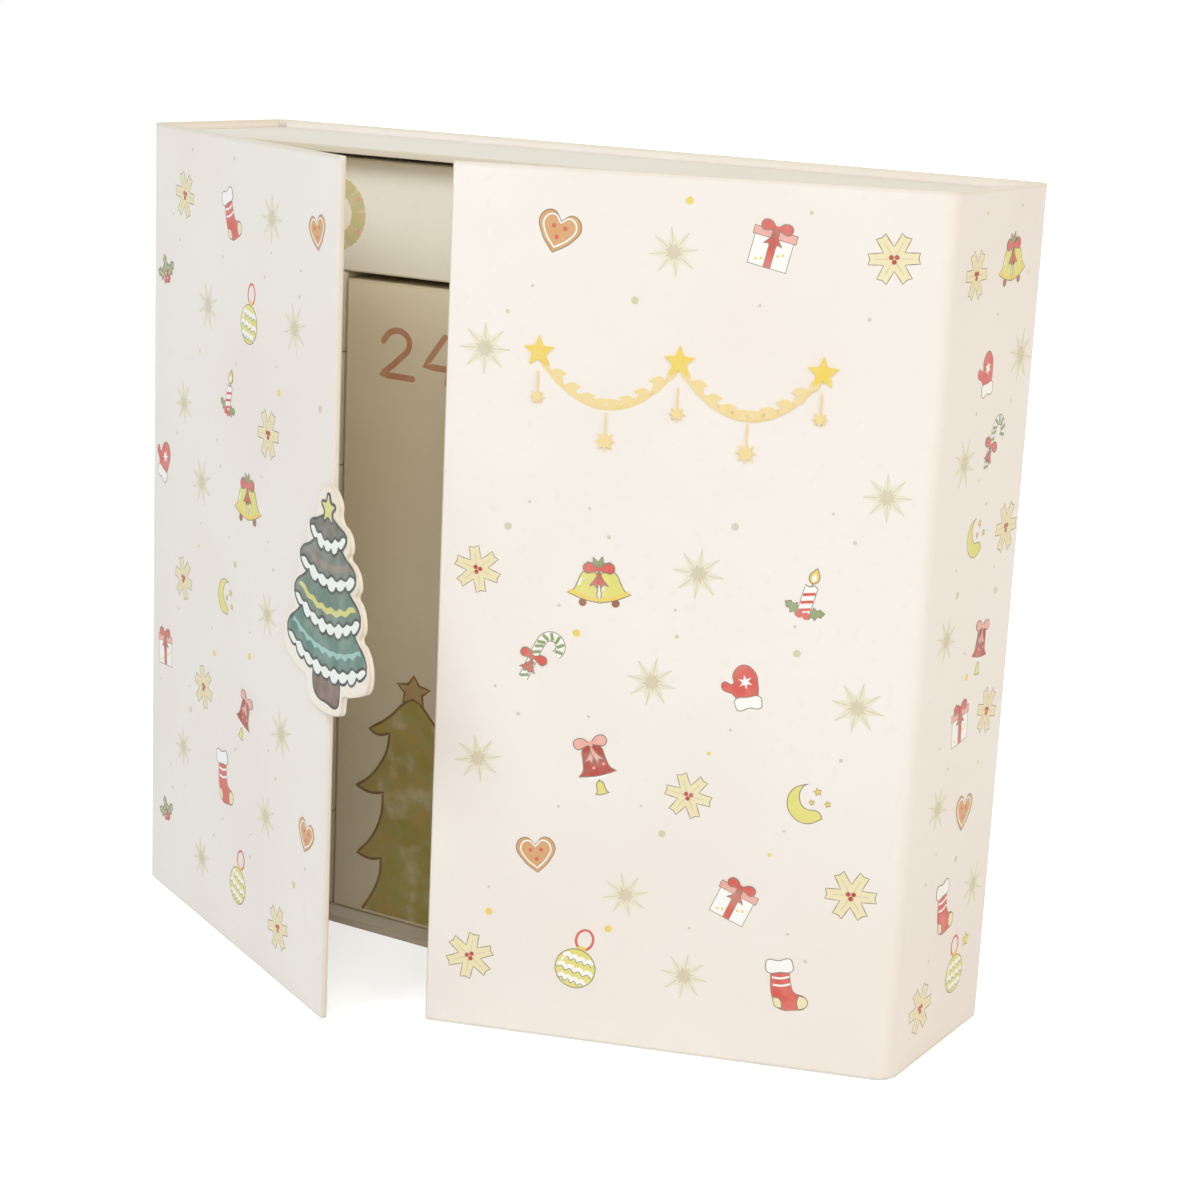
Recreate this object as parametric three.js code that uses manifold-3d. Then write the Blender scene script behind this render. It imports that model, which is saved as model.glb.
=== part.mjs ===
// An upright paperboard advent calendar: a shallow tray of 24 numbered cartons behind two doors.
// The cover is printed paper wrapped over five boards, and it bends softly where the boards stop.
// Millimetres, +Z up. The front faces -Y, and the origin is on the floor under the middle of the case.
import * as THREE from "three";
import { mergeVertices } from "three/addons/utils/BufferGeometryUtils.js";
import Module from "manifold-3d";

const wasm = await Module();
wasm.setup();

// The closed case, across its outer faces
const caseWidth = 330;
const caseDepth = 78;
const caseHeight = 300;

// Sheet stock, and the gap between pieces that touch
const boardThickness = 2.5;
const wrapThickness = 0.8;
const linerThickness = 0.8;
const gap = 0.3;

// Soft bends of the wrap, as radii of its outer face on the closed case
const hingeRadius = 6;
const rearBendRadius = 5;
const bendSteps = 10;

// Doors: how far each stands open, its clearance to the floor and the slit between the two
const leftDoorAngle = 27.3;
const rightDoorAngle = 18.8;
const doorLift = 0.5;
const doorSlit = 1;
const doorEdgeRadius = 1;
const linerMargin = 3;
// A bend of constant length swings the door about a point that lies inside the case's corner,
// by this share of the bend's radius
const pivotShare = 0.215;

// Tray: its front stands back from the doors' outer faces, and its top is lower than the cover's
const traySetback = 4.2;
const trayTopDrop = 3;
const trayBackThickness = 2;

// Cartons, with the day that each holds, in rows from the floor up
const cartonDepth = 58;
const cartonSetback = 14;
const cartonEdge = 0.5;
const columnGap = 1;
const leftColumnWidth = 76.5;
const leftRowHeights = [38, 45.3, 45.3, 45.3, 42.7, 29.8];
const leftColumnDays = [8, 19, 3, 14, 21, 6];
const tallCartonDay = 24;
const tallCartonWidth = 66;
const tallCartonHeight = 245.5;
const rightBlockDays = [
  [12, 5, 17],
  [1, 20, 9],
  [15, 7, 23],
  [4, 18, 2],
  [22, 11, 16],
];
const topRowDays = [10, 13];
const topRowHeight = 41.4;

// The tree-shaped tab: distances along the left door from the case's corner, and heights from the floor
const tabThickness = 1.5;
const tabFaceThickness = 0.4;
const tabBorder = 3;
const tabCentre = 166.3;
const tabCurveSteps = 8;
const star = { height: 183.6, radius: 5.4 };
const tiers = [
  { bottom: 169, corner: 174.8, top: 181.6, halfWidth: 14, topHalfWidth: 3 },
  { bottom: 156.4, corner: 162.2, top: 174.5, halfWidth: 21.4, topHalfWidth: 8 },
  { bottom: 140.8, corner: 149.6, top: 163.2, halfWidth: 25.6, topHalfWidth: 12 },
  { bottom: 125.2, corner: 134.2, top: 150, halfWidth: 30.9, topHalfWidth: 15 },
];
const trunk = { bottom: 117.4, top: 130, halfWidth: 10.3 };
// A tier's lower edge, as shares: how far out it stays level, where it turns up to the corner and
// how high it has risen by there
const tierLevelShare = 0.6;
const tierTurnShare = 0.95;
const tierRiseShare = 0.3;

// Closure: a magnet in the tab's free part and a steel disc in the right door behind it
const magnetRadius = 5;
const magnetThickness = 0.8;
const magnetAlong = 180;
const magnetHeight = 140;
const magnetPlay = 0.15;
const keeperRadius = 6;
const keeperThickness = 1.2;
const discSteps = 32;

const halfWidth = caseWidth / 2;
const frontY = -caseDepth / 2;
const backY = caseDepth / 2;
const pivotInset = pivotShare * hingeRadius;
const trayHalfWidth = halfWidth - boardThickness - gap;
const trayFrontY = frontY + traySetback;
const trayBackY = backY - boardThickness - gap;
const trayTop = caseHeight - trayTopDrop;
const stackBottom = boardThickness + gap;

const coverPaper = { color: 0xeee6dc, roughness: 0.8, metalness: 0 };
const liningPaper = { color: 0xe8e0cf, roughness: 0.85, metalness: 0 };
const trayPaper = { color: 0xe3dac6, roughness: 0.85, metalness: 0 };
const cartonCard = { color: 0xe9e0cc, roughness: 0.75, metalness: 0 };
const tabCard = { color: 0xf1e7da, roughness: 0.7, metalness: 0 };
const tabInk = { color: 0x5d827a, roughness: 0.65, metalness: 0 };
const nickel = { color: 0xb8b8ba, roughness: 0.3, metalness: 0.9 };

function mesh(name, geometry, finish) {
  const piece = new THREE.Mesh(geometry, new THREE.MeshStandardMaterial(finish));
  piece.name = name;
  return piece;
}

// A flat board between two corners
function board(name, low, high, finish) {
  const geometry = new THREE.BoxGeometry(high[0] - low[0], high[1] - low[1], high[2] - low[2]);
  geometry.translate((low[0] + high[0]) / 2, (low[1] + high[1]) / 2, (low[2] + high[2]) / 2);
  return mesh(name, geometry, finish);
}

// A plan outline raised from one height to another
function raised(shape, bottom, top) {
  const options = { depth: top - bottom, bevelEnabled: false, curveSegments: bendSteps };
  return new THREE.ExtrudeGeometry(shape, options).translate(0, 0, bottom);
}

function toSolid(geometry) {
  const bare = geometry.clone();
  bare.deleteAttribute("normal");
  bare.deleteAttribute("uv");
  const merged = mergeVertices(bare);
  const vertProperties = new Float32Array(merged.attributes.position.array);
  const triVerts = new Uint32Array(merged.index.array);
  return new wasm.Manifold(new wasm.Mesh({ numProp: 3, vertProperties, triVerts }));
}

function toGeometry(solid) {
  const result = solid.getMesh();
  const geometry = new THREE.BufferGeometry();
  geometry.setAttribute("position", new THREE.BufferAttribute(result.vertProperties, 3));
  geometry.setIndex(new THREE.BufferAttribute(result.triVerts, 1));
  geometry.computeVertexNormals();
  return geometry;
}

// A disc that faces the front, from one depth to another
function disc(radius, front, back, x, z) {
  const geometry = new THREE.CylinderGeometry(radius, radius, back - front, discSteps);
  return geometry.translate(x, (front + back) / 2, z);
}

// The plan of a bend that leaves the case's side at the origin and turns towards the front. The
// side is -1 on the left and 1 on the right, and each end keeps a gap to its board.
function bendPlan(side, radius, turn) {
  const start = side < 0 ? Math.PI : 0;
  const trim = gap / radius;
  const first = start - side * trim;
  const last = start - side * (turn - trim);
  const shape = new THREE.Shape();
  shape.absarc(-side * radius, 0, radius, first, last, side > 0);
  shape.absarc(-side * radius, 0, radius - wrapThickness, last, first, side < 0);
  return shape;
}

// The wrap's bend between a spine and a door that stands open
function hingeStrip(name, side, doorAngle) {
  const opening = THREE.MathUtils.degToRad(doorAngle);
  const reach = hingeRadius - pivotInset;
  const across = pivotInset + reach * Math.cos(opening) - pivotInset * Math.sin(opening);
  const tangent = across / Math.cos(opening);
  const turn = Math.PI / 2 - opening;
  const plan = bendPlan(side, tangent / Math.tan(turn / 2), turn);
  const strip = mesh(name, raised(plan, doorLift, caseHeight), coverPaper);
  strip.position.set(side * halfWidth, frontY + hingeRadius, 0);
  return strip;
}

// The wrap's bend between the back panel and a spine
function rearBend(name, side) {
  const plan = bendPlan(-side, rearBendRadius, Math.PI / 2);
  const bend = mesh(name, raised(plan, 0, caseHeight), coverPaper);
  bend.rotation.z = Math.PI;
  bend.position.set(side * halfWidth, backY - rearBendRadius, 0);
  return bend;
}

function spine(name, side) {
  const outer = side * halfWidth;
  const inner = side * (halfWidth - boardThickness);
  const low = [Math.min(outer, inner), frontY + hingeRadius, 0];
  const high = [Math.max(outer, inner), backY - rearBendRadius, caseHeight];
  return board(name, low, high, coverPaper);
}

function backPanel() {
  const reach = halfWidth - rearBendRadius;
  const low = [-reach, backY - boardThickness, 0];
  return board("back_panel", low, [reach, backY, caseHeight], coverPaper);
}

// The doors are drawn closed, about their pivots: the left one from its pivot to the right
const doorStart = hingeRadius - pivotInset;
const doorEnd = halfWidth - pivotInset - doorSlit / 2;
const doorOuterY = -pivotInset;
const doorInnerY = doorOuterY + boardThickness;

// A door board's plan, with its wrapped free edge rounded
function doorPlan() {
  const shape = new THREE.Shape();
  const edge = doorEnd - doorEdgeRadius;
  shape.moveTo(doorStart, doorOuterY);
  shape.absarc(edge, doorOuterY + doorEdgeRadius, doorEdgeRadius, -Math.PI / 2, 0, false);
  shape.absarc(edge, doorInnerY - doorEdgeRadius, doorEdgeRadius, 0, Math.PI / 2, false);
  shape.lineTo(doorStart, doorInnerY);
  return shape;
}

// Turns a left door's piece over, so that it fits the right door
function turnedOver(geometry) {
  return geometry.rotateY(Math.PI).translate(0, 0, doorLift + caseHeight);
}

function doorBoard() {
  return raised(doorPlan(), doorLift, caseHeight);
}

function doorLiner() {
  const length = doorEnd - doorStart - 2 * linerMargin;
  const height = caseHeight - doorLift - 2 * linerMargin;
  const geometry = new THREE.BoxGeometry(length, linerThickness, height);
  const y = doorInnerY + gap + linerThickness / 2;
  return geometry.translate((doorStart + doorEnd) / 2, y, (caseHeight + doorLift) / 2);
}

// The steel disc in the right door sits in a pocket cut from the door's inner face
const keeperX = -(caseWidth - magnetAlong - pivotInset);

function rightDoorBoard() {
  const floorY = doorInnerY - keeperThickness - gap;
  const pocket = disc(keeperRadius + gap, floorY, doorInnerY + gap, keeperX, magnetHeight);
  const cut = toSolid(turnedOver(doorBoard())).subtract(toSolid(pocket));
  return toGeometry(cut);
}

// One tier of the tree, grown by a border: its corners droop, and its lower edge sags
function tierShape(tier) {
  const half = tier.halfWidth + tabBorder;
  const low = tier.bottom - tabBorder;
  const top = { half: tier.topHalfWidth + tabBorder / 2, height: tier.top };
  const level = tierLevelShare * half;
  const turn = tierTurnShare * half;
  const rise = low + tierRiseShare * (tier.corner - low);
  const waist = { half: (half + 2 * top.half) / 3, height: (tier.corner + top.height) / 2 };
  const shape = new THREE.Shape();
  shape.moveTo(0, low);
  shape.bezierCurveTo(level, low, turn, rise, half, tier.corner);
  shape.quadraticCurveTo(waist.half, waist.height, top.half, top.height);
  shape.lineTo(-top.half, top.height);
  shape.quadraticCurveTo(-waist.half, waist.height, -half, tier.corner);
  shape.bezierCurveTo(-turn, rise, -level, low, 0, low);
  return shape;
}

function starShape() {
  const shape = new THREE.Shape();
  shape.absarc(0, star.height, star.radius + tabBorder, 0, 2 * Math.PI, false);
  return shape;
}

function trunkShape() {
  const half = trunk.halfWidth + tabBorder;
  const low = trunk.bottom - tabBorder;
  const shape = new THREE.Shape();
  shape.moveTo(-half, trunk.top);
  shape.lineTo(-half, low + tabBorder);
  shape.quadraticCurveTo(-half, low, -half + tabBorder, low);
  shape.lineTo(half - tabBorder, low);
  shape.quadraticCurveTo(half, low, half, low + tabBorder);
  shape.lineTo(half, trunk.top);
  return shape;
}

// The whole tree-shaped outline, from one depth to another on the left door
function tabSheet(front, back) {
  const options = { depth: back - front, bevelEnabled: false, curveSegments: tabCurveSteps };
  let whole = toSolid(new THREE.ExtrudeGeometry(trunkShape(), options));
  for (const shape of [starShape(), ...tiers.map(tierShape)]) {
    whole = whole.add(toSolid(new THREE.ExtrudeGeometry(shape, options)));
  }
  const sheet = toGeometry(whole).rotateX(Math.PI / 2);
  return sheet.translate(tabCentre - pivotInset, back, 0);
}

const tabBackY = doorOuterY - gap;
const tabFrontY = tabBackY - tabThickness;
const magnetX = magnetAlong - pivotInset;
const magnetFrontY = tabFrontY - magnetPlay / 2;

function tabBoard() {
  const floorY = magnetFrontY + magnetThickness + magnetPlay;
  const pocket = disc(magnetRadius + gap, tabFrontY - gap, floorY, magnetX, magnetHeight);
  return toGeometry(toSolid(tabSheet(tabFrontY, tabBackY)).subtract(toSolid(pocket)));
}

function leftDoor() {
  const door = new THREE.Group();
  door.position.set(-(halfWidth - pivotInset), frontY + pivotInset, 0);
  door.rotation.z = -THREE.MathUtils.degToRad(leftDoorAngle);
  const faceY = magnetFrontY - gap - tabFaceThickness;
  const magnetBackY = magnetFrontY + magnetThickness;
  const magnet = disc(magnetRadius, magnetFrontY, magnetBackY, magnetX, magnetHeight);
  door.add(
    mesh("left_door", doorBoard(), coverPaper),
    mesh("left_door_liner", doorLiner(), liningPaper),
    mesh("tree_tab_board", tabBoard(), tabCard),
    mesh("tree_tab_face", tabSheet(faceY, faceY + tabFaceThickness), tabInk),
    mesh("tab_magnet", magnet, nickel),
  );
  return door;
}

function rightDoor() {
  const door = new THREE.Group();
  door.position.set(halfWidth - pivotInset, frontY + pivotInset, 0);
  door.rotation.z = THREE.MathUtils.degToRad(rightDoorAngle);
  const keeper = disc(keeperRadius, doorInnerY - keeperThickness, doorInnerY, keeperX, magnetHeight);
  door.add(
    mesh("right_door", rightDoorBoard(), coverPaper),
    mesh("right_door_liner", turnedOver(doorLiner()), liningPaper),
    mesh("steel_keeper", keeper, nickel),
  );
  return door;
}

function tray() {
  const outer = trayHalfWidth;
  const inner = trayHalfWidth - boardThickness;
  const wallBottom = boardThickness + gap;
  const wallTop = trayTop - boardThickness - gap;
  const backFace = trayBackY - trayBackThickness;
  const boards = [
    ["tray_bottom", [-outer, trayFrontY, 0], [outer, trayBackY, boardThickness]],
    ["tray_top", [-outer, trayFrontY, trayTop - boardThickness], [outer, trayBackY, trayTop]],
    ["tray_left", [-outer, trayFrontY, wallBottom], [-inner, trayBackY, wallTop]],
    ["tray_right", [inner, trayFrontY, wallBottom], [outer, trayBackY, wallTop]],
    ["tray_back", [-inner + gap, backFace, wallBottom], [inner - gap, trayBackY, wallTop]],
  ];
  const group = new THREE.Group();
  for (const [name, low, high] of boards) {
    group.add(board(name, low, high, trayPaper));
  }
  return group;
}

// A closed card box with its front at the local y of 0, standing on its local floor
function cartonGeometry(width, height) {
  const half = width / 2 - cartonEdge;
  const shape = new THREE.Shape();
  shape.moveTo(-half, cartonEdge);
  shape.lineTo(half, cartonEdge);
  shape.lineTo(half, height - cartonEdge);
  shape.lineTo(-half, height - cartonEdge);
  const options = {
    depth: cartonDepth - 2 * cartonEdge,
    bevelThickness: cartonEdge,
    bevelSize: cartonEdge,
    bevelSegments: 1,
  };
  const geometry = new THREE.ExtrudeGeometry(shape, options);
  return geometry.rotateX(Math.PI / 2).translate(0, cartonDepth - cartonEdge, 0);
}

function carton(day, left, bottom, width, height) {
  const name = "carton_" + String(day).padStart(2, "0");
  const box = mesh(name, cartonGeometry(width, height), cartonCard);
  box.position.set(left + width / 2, frontY + cartonSetback, bottom);
  return box;
}

function cartons() {
  const group = new THREE.Group();
  const left = -(trayHalfWidth - boardThickness) + columnGap / 2;
  const right = -left;
  let bottom = stackBottom;
  leftRowHeights.forEach((height, row) => {
    group.add(carton(leftColumnDays[row], left, bottom, leftColumnWidth, height));
    bottom += height + gap;
  });
  const topRowBottom = bottom;

  const tallLeft = left + leftColumnWidth + columnGap;
  group.add(carton(tallCartonDay, tallLeft, stackBottom, tallCartonWidth, tallCartonHeight));

  const blockLeft = tallLeft + tallCartonWidth + columnGap;
  const columns = rightBlockDays[0].length;
  const rows = rightBlockDays.length;
  const columnPitch = (right - blockLeft + columnGap) / columns;
  const rowPitch = (topRowBottom - stackBottom) / rows;
  rightBlockDays.forEach((days, row) => {
    days.forEach((day, column) => {
      const x = blockLeft + column * columnPitch;
      const z = stackBottom + row * rowPitch;
      group.add(carton(day, x, z, columnPitch - columnGap, rowPitch - gap));
    });
  });

  const topPitch = (right - left + columnGap) / topRowDays.length;
  topRowDays.forEach((day, column) => {
    const x = left + column * topPitch;
    group.add(carton(day, x, topRowBottom, topPitch - columnGap, topRowHeight));
  });
  return group;
}

const calendar = new THREE.Group();
calendar.add(
  backPanel(),
  spine("left_spine", -1),
  spine("right_spine", 1),
  rearBend("left_rear_bend", -1),
  rearBend("right_rear_bend", 1),
  hingeStrip("left_hinge_strip", -1, leftDoorAngle),
  hingeStrip("right_hinge_strip", 1, rightDoorAngle),
  tray(),
  leftDoor(),
  rightDoor(),
  cartons(),
);

export default calendar;
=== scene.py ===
# %% [markdown]
# # An advent calendar box in printed paper
#
# This lesson dresses a calendar box whose boards, doors and cartons already exist as plain solids. The
# real box is greyboard wrapped in printed paper. The paper runs round every edge without a seam, and
# where two boards meet it bends softly and is the hinge. So the looks come from three things: long pieces
# of wrap that bend, thin layers of ink for the prints, and paper that has grain, tone and slightly worn
# edges.

# %% The frame
import math
import random
from collections import namedtuple

import bmesh
import bpy
from mathutils import Matrix, Vector


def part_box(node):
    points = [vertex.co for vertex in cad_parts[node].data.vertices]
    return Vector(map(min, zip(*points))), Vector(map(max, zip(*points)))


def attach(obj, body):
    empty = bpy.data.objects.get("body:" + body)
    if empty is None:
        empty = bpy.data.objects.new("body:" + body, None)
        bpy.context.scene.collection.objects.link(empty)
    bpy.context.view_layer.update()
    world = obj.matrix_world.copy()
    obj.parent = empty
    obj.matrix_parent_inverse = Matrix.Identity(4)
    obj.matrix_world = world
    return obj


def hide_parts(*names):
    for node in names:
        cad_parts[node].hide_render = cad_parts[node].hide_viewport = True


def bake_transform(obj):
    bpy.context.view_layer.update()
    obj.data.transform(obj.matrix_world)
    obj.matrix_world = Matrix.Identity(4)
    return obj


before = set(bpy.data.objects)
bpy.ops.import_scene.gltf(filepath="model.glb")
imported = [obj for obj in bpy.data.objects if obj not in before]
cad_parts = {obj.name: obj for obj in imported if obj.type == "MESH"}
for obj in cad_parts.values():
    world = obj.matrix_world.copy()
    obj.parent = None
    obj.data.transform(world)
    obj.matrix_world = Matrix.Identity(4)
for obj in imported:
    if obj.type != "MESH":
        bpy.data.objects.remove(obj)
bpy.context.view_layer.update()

MM = 0.001

# %% [markdown]
# The photograph was taken from the right of the box, a little above its top, with a long lens. The camera
# could be aimed by a Track To constraint, but a fitted camera also has a small roll, so it is placed by
# its three angles. The lens shift is tiny: it is the crop of the picture, not a tilt of the lens.

# %% The camera
CAMERA_PLACE = (0.48251, -0.77652, 0.35503)
CAMERA_ANGLES = (76.406, -2.653, 31.650)
LENS = 75.66
CROP_SHIFT = (0.0058, 0.0024)

lens = bpy.data.cameras.new("camera")
lens.lens = LENS
lens.sensor_width = 36
lens.shift_x, lens.shift_y = CROP_SHIFT
camera = bpy.data.objects.new("camera", lens)
camera.location = CAMERA_PLACE
camera.rotation_euler = [math.radians(angle) for angle in CAMERA_ANGLES]
bpy.context.scene.collection.objects.link(camera)
bpy.context.scene.camera = camera
print("camera distance:", round(Vector(CAMERA_PLACE).length, 3), "m")

# %% [markdown]
# The studio is a pale floor, a white surround and four large soft lamps. The lamp at the right is a
# little warm and the one at the left a little cool, which is why one paper shows three tones on its three
# sides. Only the camera, and what mirrors or lets light through, see the surround as pure white. The
# light that reaches the paper stays at a plain level, so that the cream doesn't burn out.

# %% The studio
SURROUND_LIGHT = 0.42
FLOOR_TONE = 0.86
FLOOR_GLOW = (0.6, 1.0)
FLOOR_REACH = (0.4, 2.5)
FLOOR_RADIUS = 12

scene = bpy.context.scene
scene.view_settings.view_transform = "Standard"


def set_inputs(node, values):
    for name, value in values.items():
        node.inputs[name.replace("_", " ")].default_value = value


def new_node(tree, kind, **inputs):
    """A node of that kind, with the values of its named inputs."""
    node = tree.nodes.new(kind)
    set_inputs(node, inputs)
    return node


def new_material(name, **inputs):
    """A material with its node tree and its shader, and the values of the shader's named inputs."""
    material = bpy.data.materials.new(name)
    material.use_nodes = True
    surface = material.node_tree.nodes["Principled BSDF"]
    set_inputs(surface, inputs)
    return material, material.node_tree, surface


def feed(tree, sockets, values):
    """Gives each socket its value: a link from another socket, or a plain number or colour."""
    for socket, value in zip(sockets, values):
        if isinstance(value, bpy.types.NodeSocket):
            tree.links.new(value, socket)
        else:
            socket.default_value = value


def reckoned(tree, operation, first, second):
    """What a Math node makes of two values."""
    node = tree.nodes.new("ShaderNodeMath")
    node.operation = operation
    feed(tree, node.inputs, (first, second))
    return node.outputs[0]


def seen_directly(tree):
    """1 for what the camera sees directly or in gloss or glass, 0 for light that bounces."""
    path = tree.nodes.new("ShaderNodeLightPath")
    total = path.outputs["Is Camera Ray"]
    for name in ("Is Glossy Ray", "Is Transmission Ray"):
        total = reckoned(tree, "MAXIMUM", total, path.outputs[name])
    return total


world = bpy.data.worlds.new("surround")
scene.world = world
world.use_nodes = True
sky = world.node_tree
level = new_node(sky, "ShaderNodeMapRange", To_Min=SURROUND_LIGHT, To_Max=1.0)
sky.links.new(seen_directly(sky), level.inputs["Value"])
sky.nodes["Background"].inputs["Color"].default_value = (1, 1, 1, 1)
sky.links.new(level.outputs["Result"], sky.nodes["Background"].inputs["Strength"])

floor_mesh = bpy.data.meshes.new("floor")
bm = bmesh.new()
bmesh.ops.create_circle(bm, cap_ends=True, segments=64, radius=FLOOR_RADIUS)
bm.to_mesh(floor_mesh)
bm.free()
floor = bpy.data.objects.new("floor", floor_mesh)
scene.collection.objects.link(floor)
floor_paint, tree, surface = new_material("pale_floor", Base_Color=(FLOOR_TONE, FLOOR_TONE, FLOOR_TONE, 1),
                                          Roughness=0.9, Specular_IOR_Level=0.1, Emission_Color=(1, 1, 1, 1))
place = tree.nodes.new("ShaderNodeTexCoord")
distance = tree.nodes.new("ShaderNodeVectorMath")
distance.operation = "LENGTH"
tree.links.new(place.outputs["Object"], distance.inputs[0])
rise = new_node(tree, "ShaderNodeMapRange", From_Min=FLOOR_REACH[0], From_Max=FLOOR_REACH[1],
                To_Min=FLOOR_GLOW[0], To_Max=FLOOR_GLOW[1])
tree.links.new(distance.outputs["Value"], rise.inputs["Value"])
glow = reckoned(tree, "MULTIPLY", rise.outputs["Result"], seen_directly(tree))
tree.links.new(glow, surface.inputs["Emission Strength"])
floor_mesh.materials.append(floor_paint)


def softbox(name, place, aim, size, power, colour):
    """A large round lamp at a place, turned to face a point."""
    lamp = bpy.data.lights.new(name, "AREA")
    lamp.shape = "DISK"
    lamp.size = size
    lamp.energy = power
    lamp.color = colour
    holder = bpy.data.objects.new(name, lamp)
    holder.location = place
    holder.rotation_euler = (Vector(aim) - Vector(place)).to_track_quat("-Z", "Y").to_euler()
    scene.collection.objects.link(holder)


AIM = (0, -0.03, 0.15)
softbox("front_lamp", (0.7, -1.2, 1.1), AIM, size=0.8, power=5.4, colour=(0.93, 0.92, 1.0))
softbox("right_lamp", (1.7, -0.38, 0.9), AIM, size=1.2, power=8, colour=(1.0, 0.94, 0.74))
softbox("left_lamp", (-0.4, -1.3, 1.3), AIM, size=0.8, power=10.4, colour=(0.82, 0.945, 1.0))
softbox("rear_lamp", (0.3, 1.8, 1.0), AIM, size=1.2, power=9, colour=(1.0, 0.99, 0.97))

# %% [markdown]
# Printed paper isn't one flat colour. Its tone drifts over a hand's width, it has fibres that show as a
# fine grain in the gloss, and its folded edges are a little darker where hands touch them. All three are
# read from Object coordinates, so the pattern stays on the paper. The edge tone comes from an attribute
# named `edge`, which each piece sets on its own folds.

# %% Paper
FIBRE_SCALE = 1400
TONE_SCALE = 9
TONE_LEVELS = (0.35, 0.65)
FLECK_SCALE = 260
FLECK_LEVELS = (0.60, 0.78)
EVEN_LEVELS = (0.3, 0.7)
PAPER_SHINE = 0.35
PAPER_FIBRE = (0.25, 0.00006)
INK_FIBRE = (0.15, 0.00004)


def srgb(red, green, blue):
    """A colour as it looks on screen, from 0 to 255, as the linear values that a shader wants."""
    return tuple((part / 255) ** 2.2 for part in (red, green, blue)) + (1,)


def mixed(tree, factor, low, high):
    """The colour output of a mix from one colour to another. Each may be a socket or a colour."""
    mix = tree.nodes.new("ShaderNodeMix")
    mix.data_type = "RGBA"
    feed(tree, [socket for socket in mix.inputs if socket.enabled], (factor, low, high))
    return next(socket for socket in mix.outputs if socket.enabled)


def noise(tree, scale, detail, levels):
    """A noise on Object coordinates, brought to the range 0 to 1 between two of its own levels."""
    place = tree.nodes.new("ShaderNodeTexCoord")
    cloud = new_node(tree, "ShaderNodeTexNoise", Scale=scale, Detail=detail)
    tree.links.new(place.outputs["Object"], cloud.inputs["Vector"])
    spread = new_node(tree, "ShaderNodeMapRange", From_Min=levels[0], From_Max=levels[1])
    tree.links.new(cloud.outputs["Fac"], spread.inputs["Value"])
    return spread.outputs["Result"]


def attribute(tree, name, output):
    node = tree.nodes.new("ShaderNodeAttribute")
    node.attribute_name = name
    return node.outputs[output]


def grain(tree, surface, fibre):
    """Fine fibres as bump, of a strength and a depth."""
    bump = new_node(tree, "ShaderNodeBump", Strength=fibre[0], Distance=fibre[1])
    tree.links.new(noise(tree, FIBRE_SCALE, 4, EVEN_LEVELS), bump.inputs["Height"])
    tree.links.new(bump.outputs["Normal"], surface.inputs["Normal"])


def paper(name, light, deep, edge, roughness):
    """Paper whose tone drifts from light to deep, with an edge tone and fibres."""
    material, tree, surface = new_material(name, Roughness=roughness, Specular_IOR_Level=PAPER_SHINE)
    tone = mixed(tree, noise(tree, TONE_SCALE, 3, TONE_LEVELS), light, deep)
    fleck = mixed(tree, noise(tree, FLECK_SCALE, 6, FLECK_LEVELS), tone, deep)
    worn = mixed(tree, attribute(tree, "edge", "Fac"), fleck, edge)
    tree.links.new(worn, surface.inputs["Base Color"])
    grain(tree, surface, PAPER_FIBRE)
    return material


cover_paper = paper("cover_paper", srgb(246, 237, 229), srgb(242, 231, 221), srgb(232, 220, 203), 0.55)
lining_paper = paper("lining_paper", srgb(246, 239, 226), srgb(241, 233, 217), srgb(228, 217, 196), 0.7)
tray_paper = paper("tray_paper", srgb(243, 236, 222), srgb(238, 229, 212), srgb(226, 214, 192), 0.7)
carton_card = paper("carton_card", srgb(249, 241, 224), srgb(244, 234, 213), srgb(226, 211, 182), 0.6)
# The tall carton's card is a yellower copy of the carton card: painted warm bounce light, for the light that
# reaches it between the doors.
bounce_tinted_card = paper("bounce_tinted_card", srgb(246, 234, 206), srgb(241, 227, 195), srgb(221, 203, 164), 0.6)
tab_card = paper("tab_card", srgb(250, 240, 226), srgb(246, 233, 215), srgb(228, 214, 192), 0.5)
print("papers:", [m.name for m in bpy.data.materials if m.name.endswith(("paper", "card"))])

# %% [markdown]
# Ink is a film on the paper. One material serves all the prints: it reads each shape's own colour from an
# attribute named `ink`. Watercolour ink pools and thins, so the colour drifts towards the paper in soft
# clouds, and the film is slightly smoother than the paper round it.

# %% Ink
PAPER_SHOWING = srgb(246, 238, 226)
CLOUD_SCALE = 160
CLOUD_LEVELS = (0.35, 0.75)
CLOUD_SHARE = 0.16

ink, tree, surface = new_material("printed_ink", Roughness=0.48, Specular_IOR_Level=PAPER_SHINE)
drawn = attribute(tree, "ink", "Color")
thin = reckoned(tree, "MULTIPLY", noise(tree, CLOUD_SCALE, 3, CLOUD_LEVELS), CLOUD_SHARE)
tree.links.new(mixed(tree, thin, drawn, PAPER_SHOWING), surface.inputs["Base Color"])
grain(tree, surface, INK_FIBRE)

# %% [markdown]
# The cover's side wall, hinge and door are one wrapped sheet over two boards. Its plan is a long thin
# outline. It is drawn as a wire: a point is extruded for a straight stretch and spun for a bend, and the
# closed wire is filled and raised. That keeps each thickness and each radius exact, which a modelled box
# with a bend modifier doesn't.

# %% The plan of a wrapped cover
def degrees(value):
    return math.radians(value)


def sweep_steps(angle, radius):
    """How many steps a bend needs so that it looks round."""
    return max(4, round(abs(angle) * max(6, 40 * radius ** 0.5)))


def extruded(bm, faces, shift):
    """Extrudes faces, and moves the new ones by a shift."""
    grown = bmesh.ops.extrude_face_region(bm, geom=faces)["geom"]
    bmesh.ops.translate(bm, verts=[item for item in grown if isinstance(item, bmesh.types.BMVert)], vec=shift)


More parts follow.
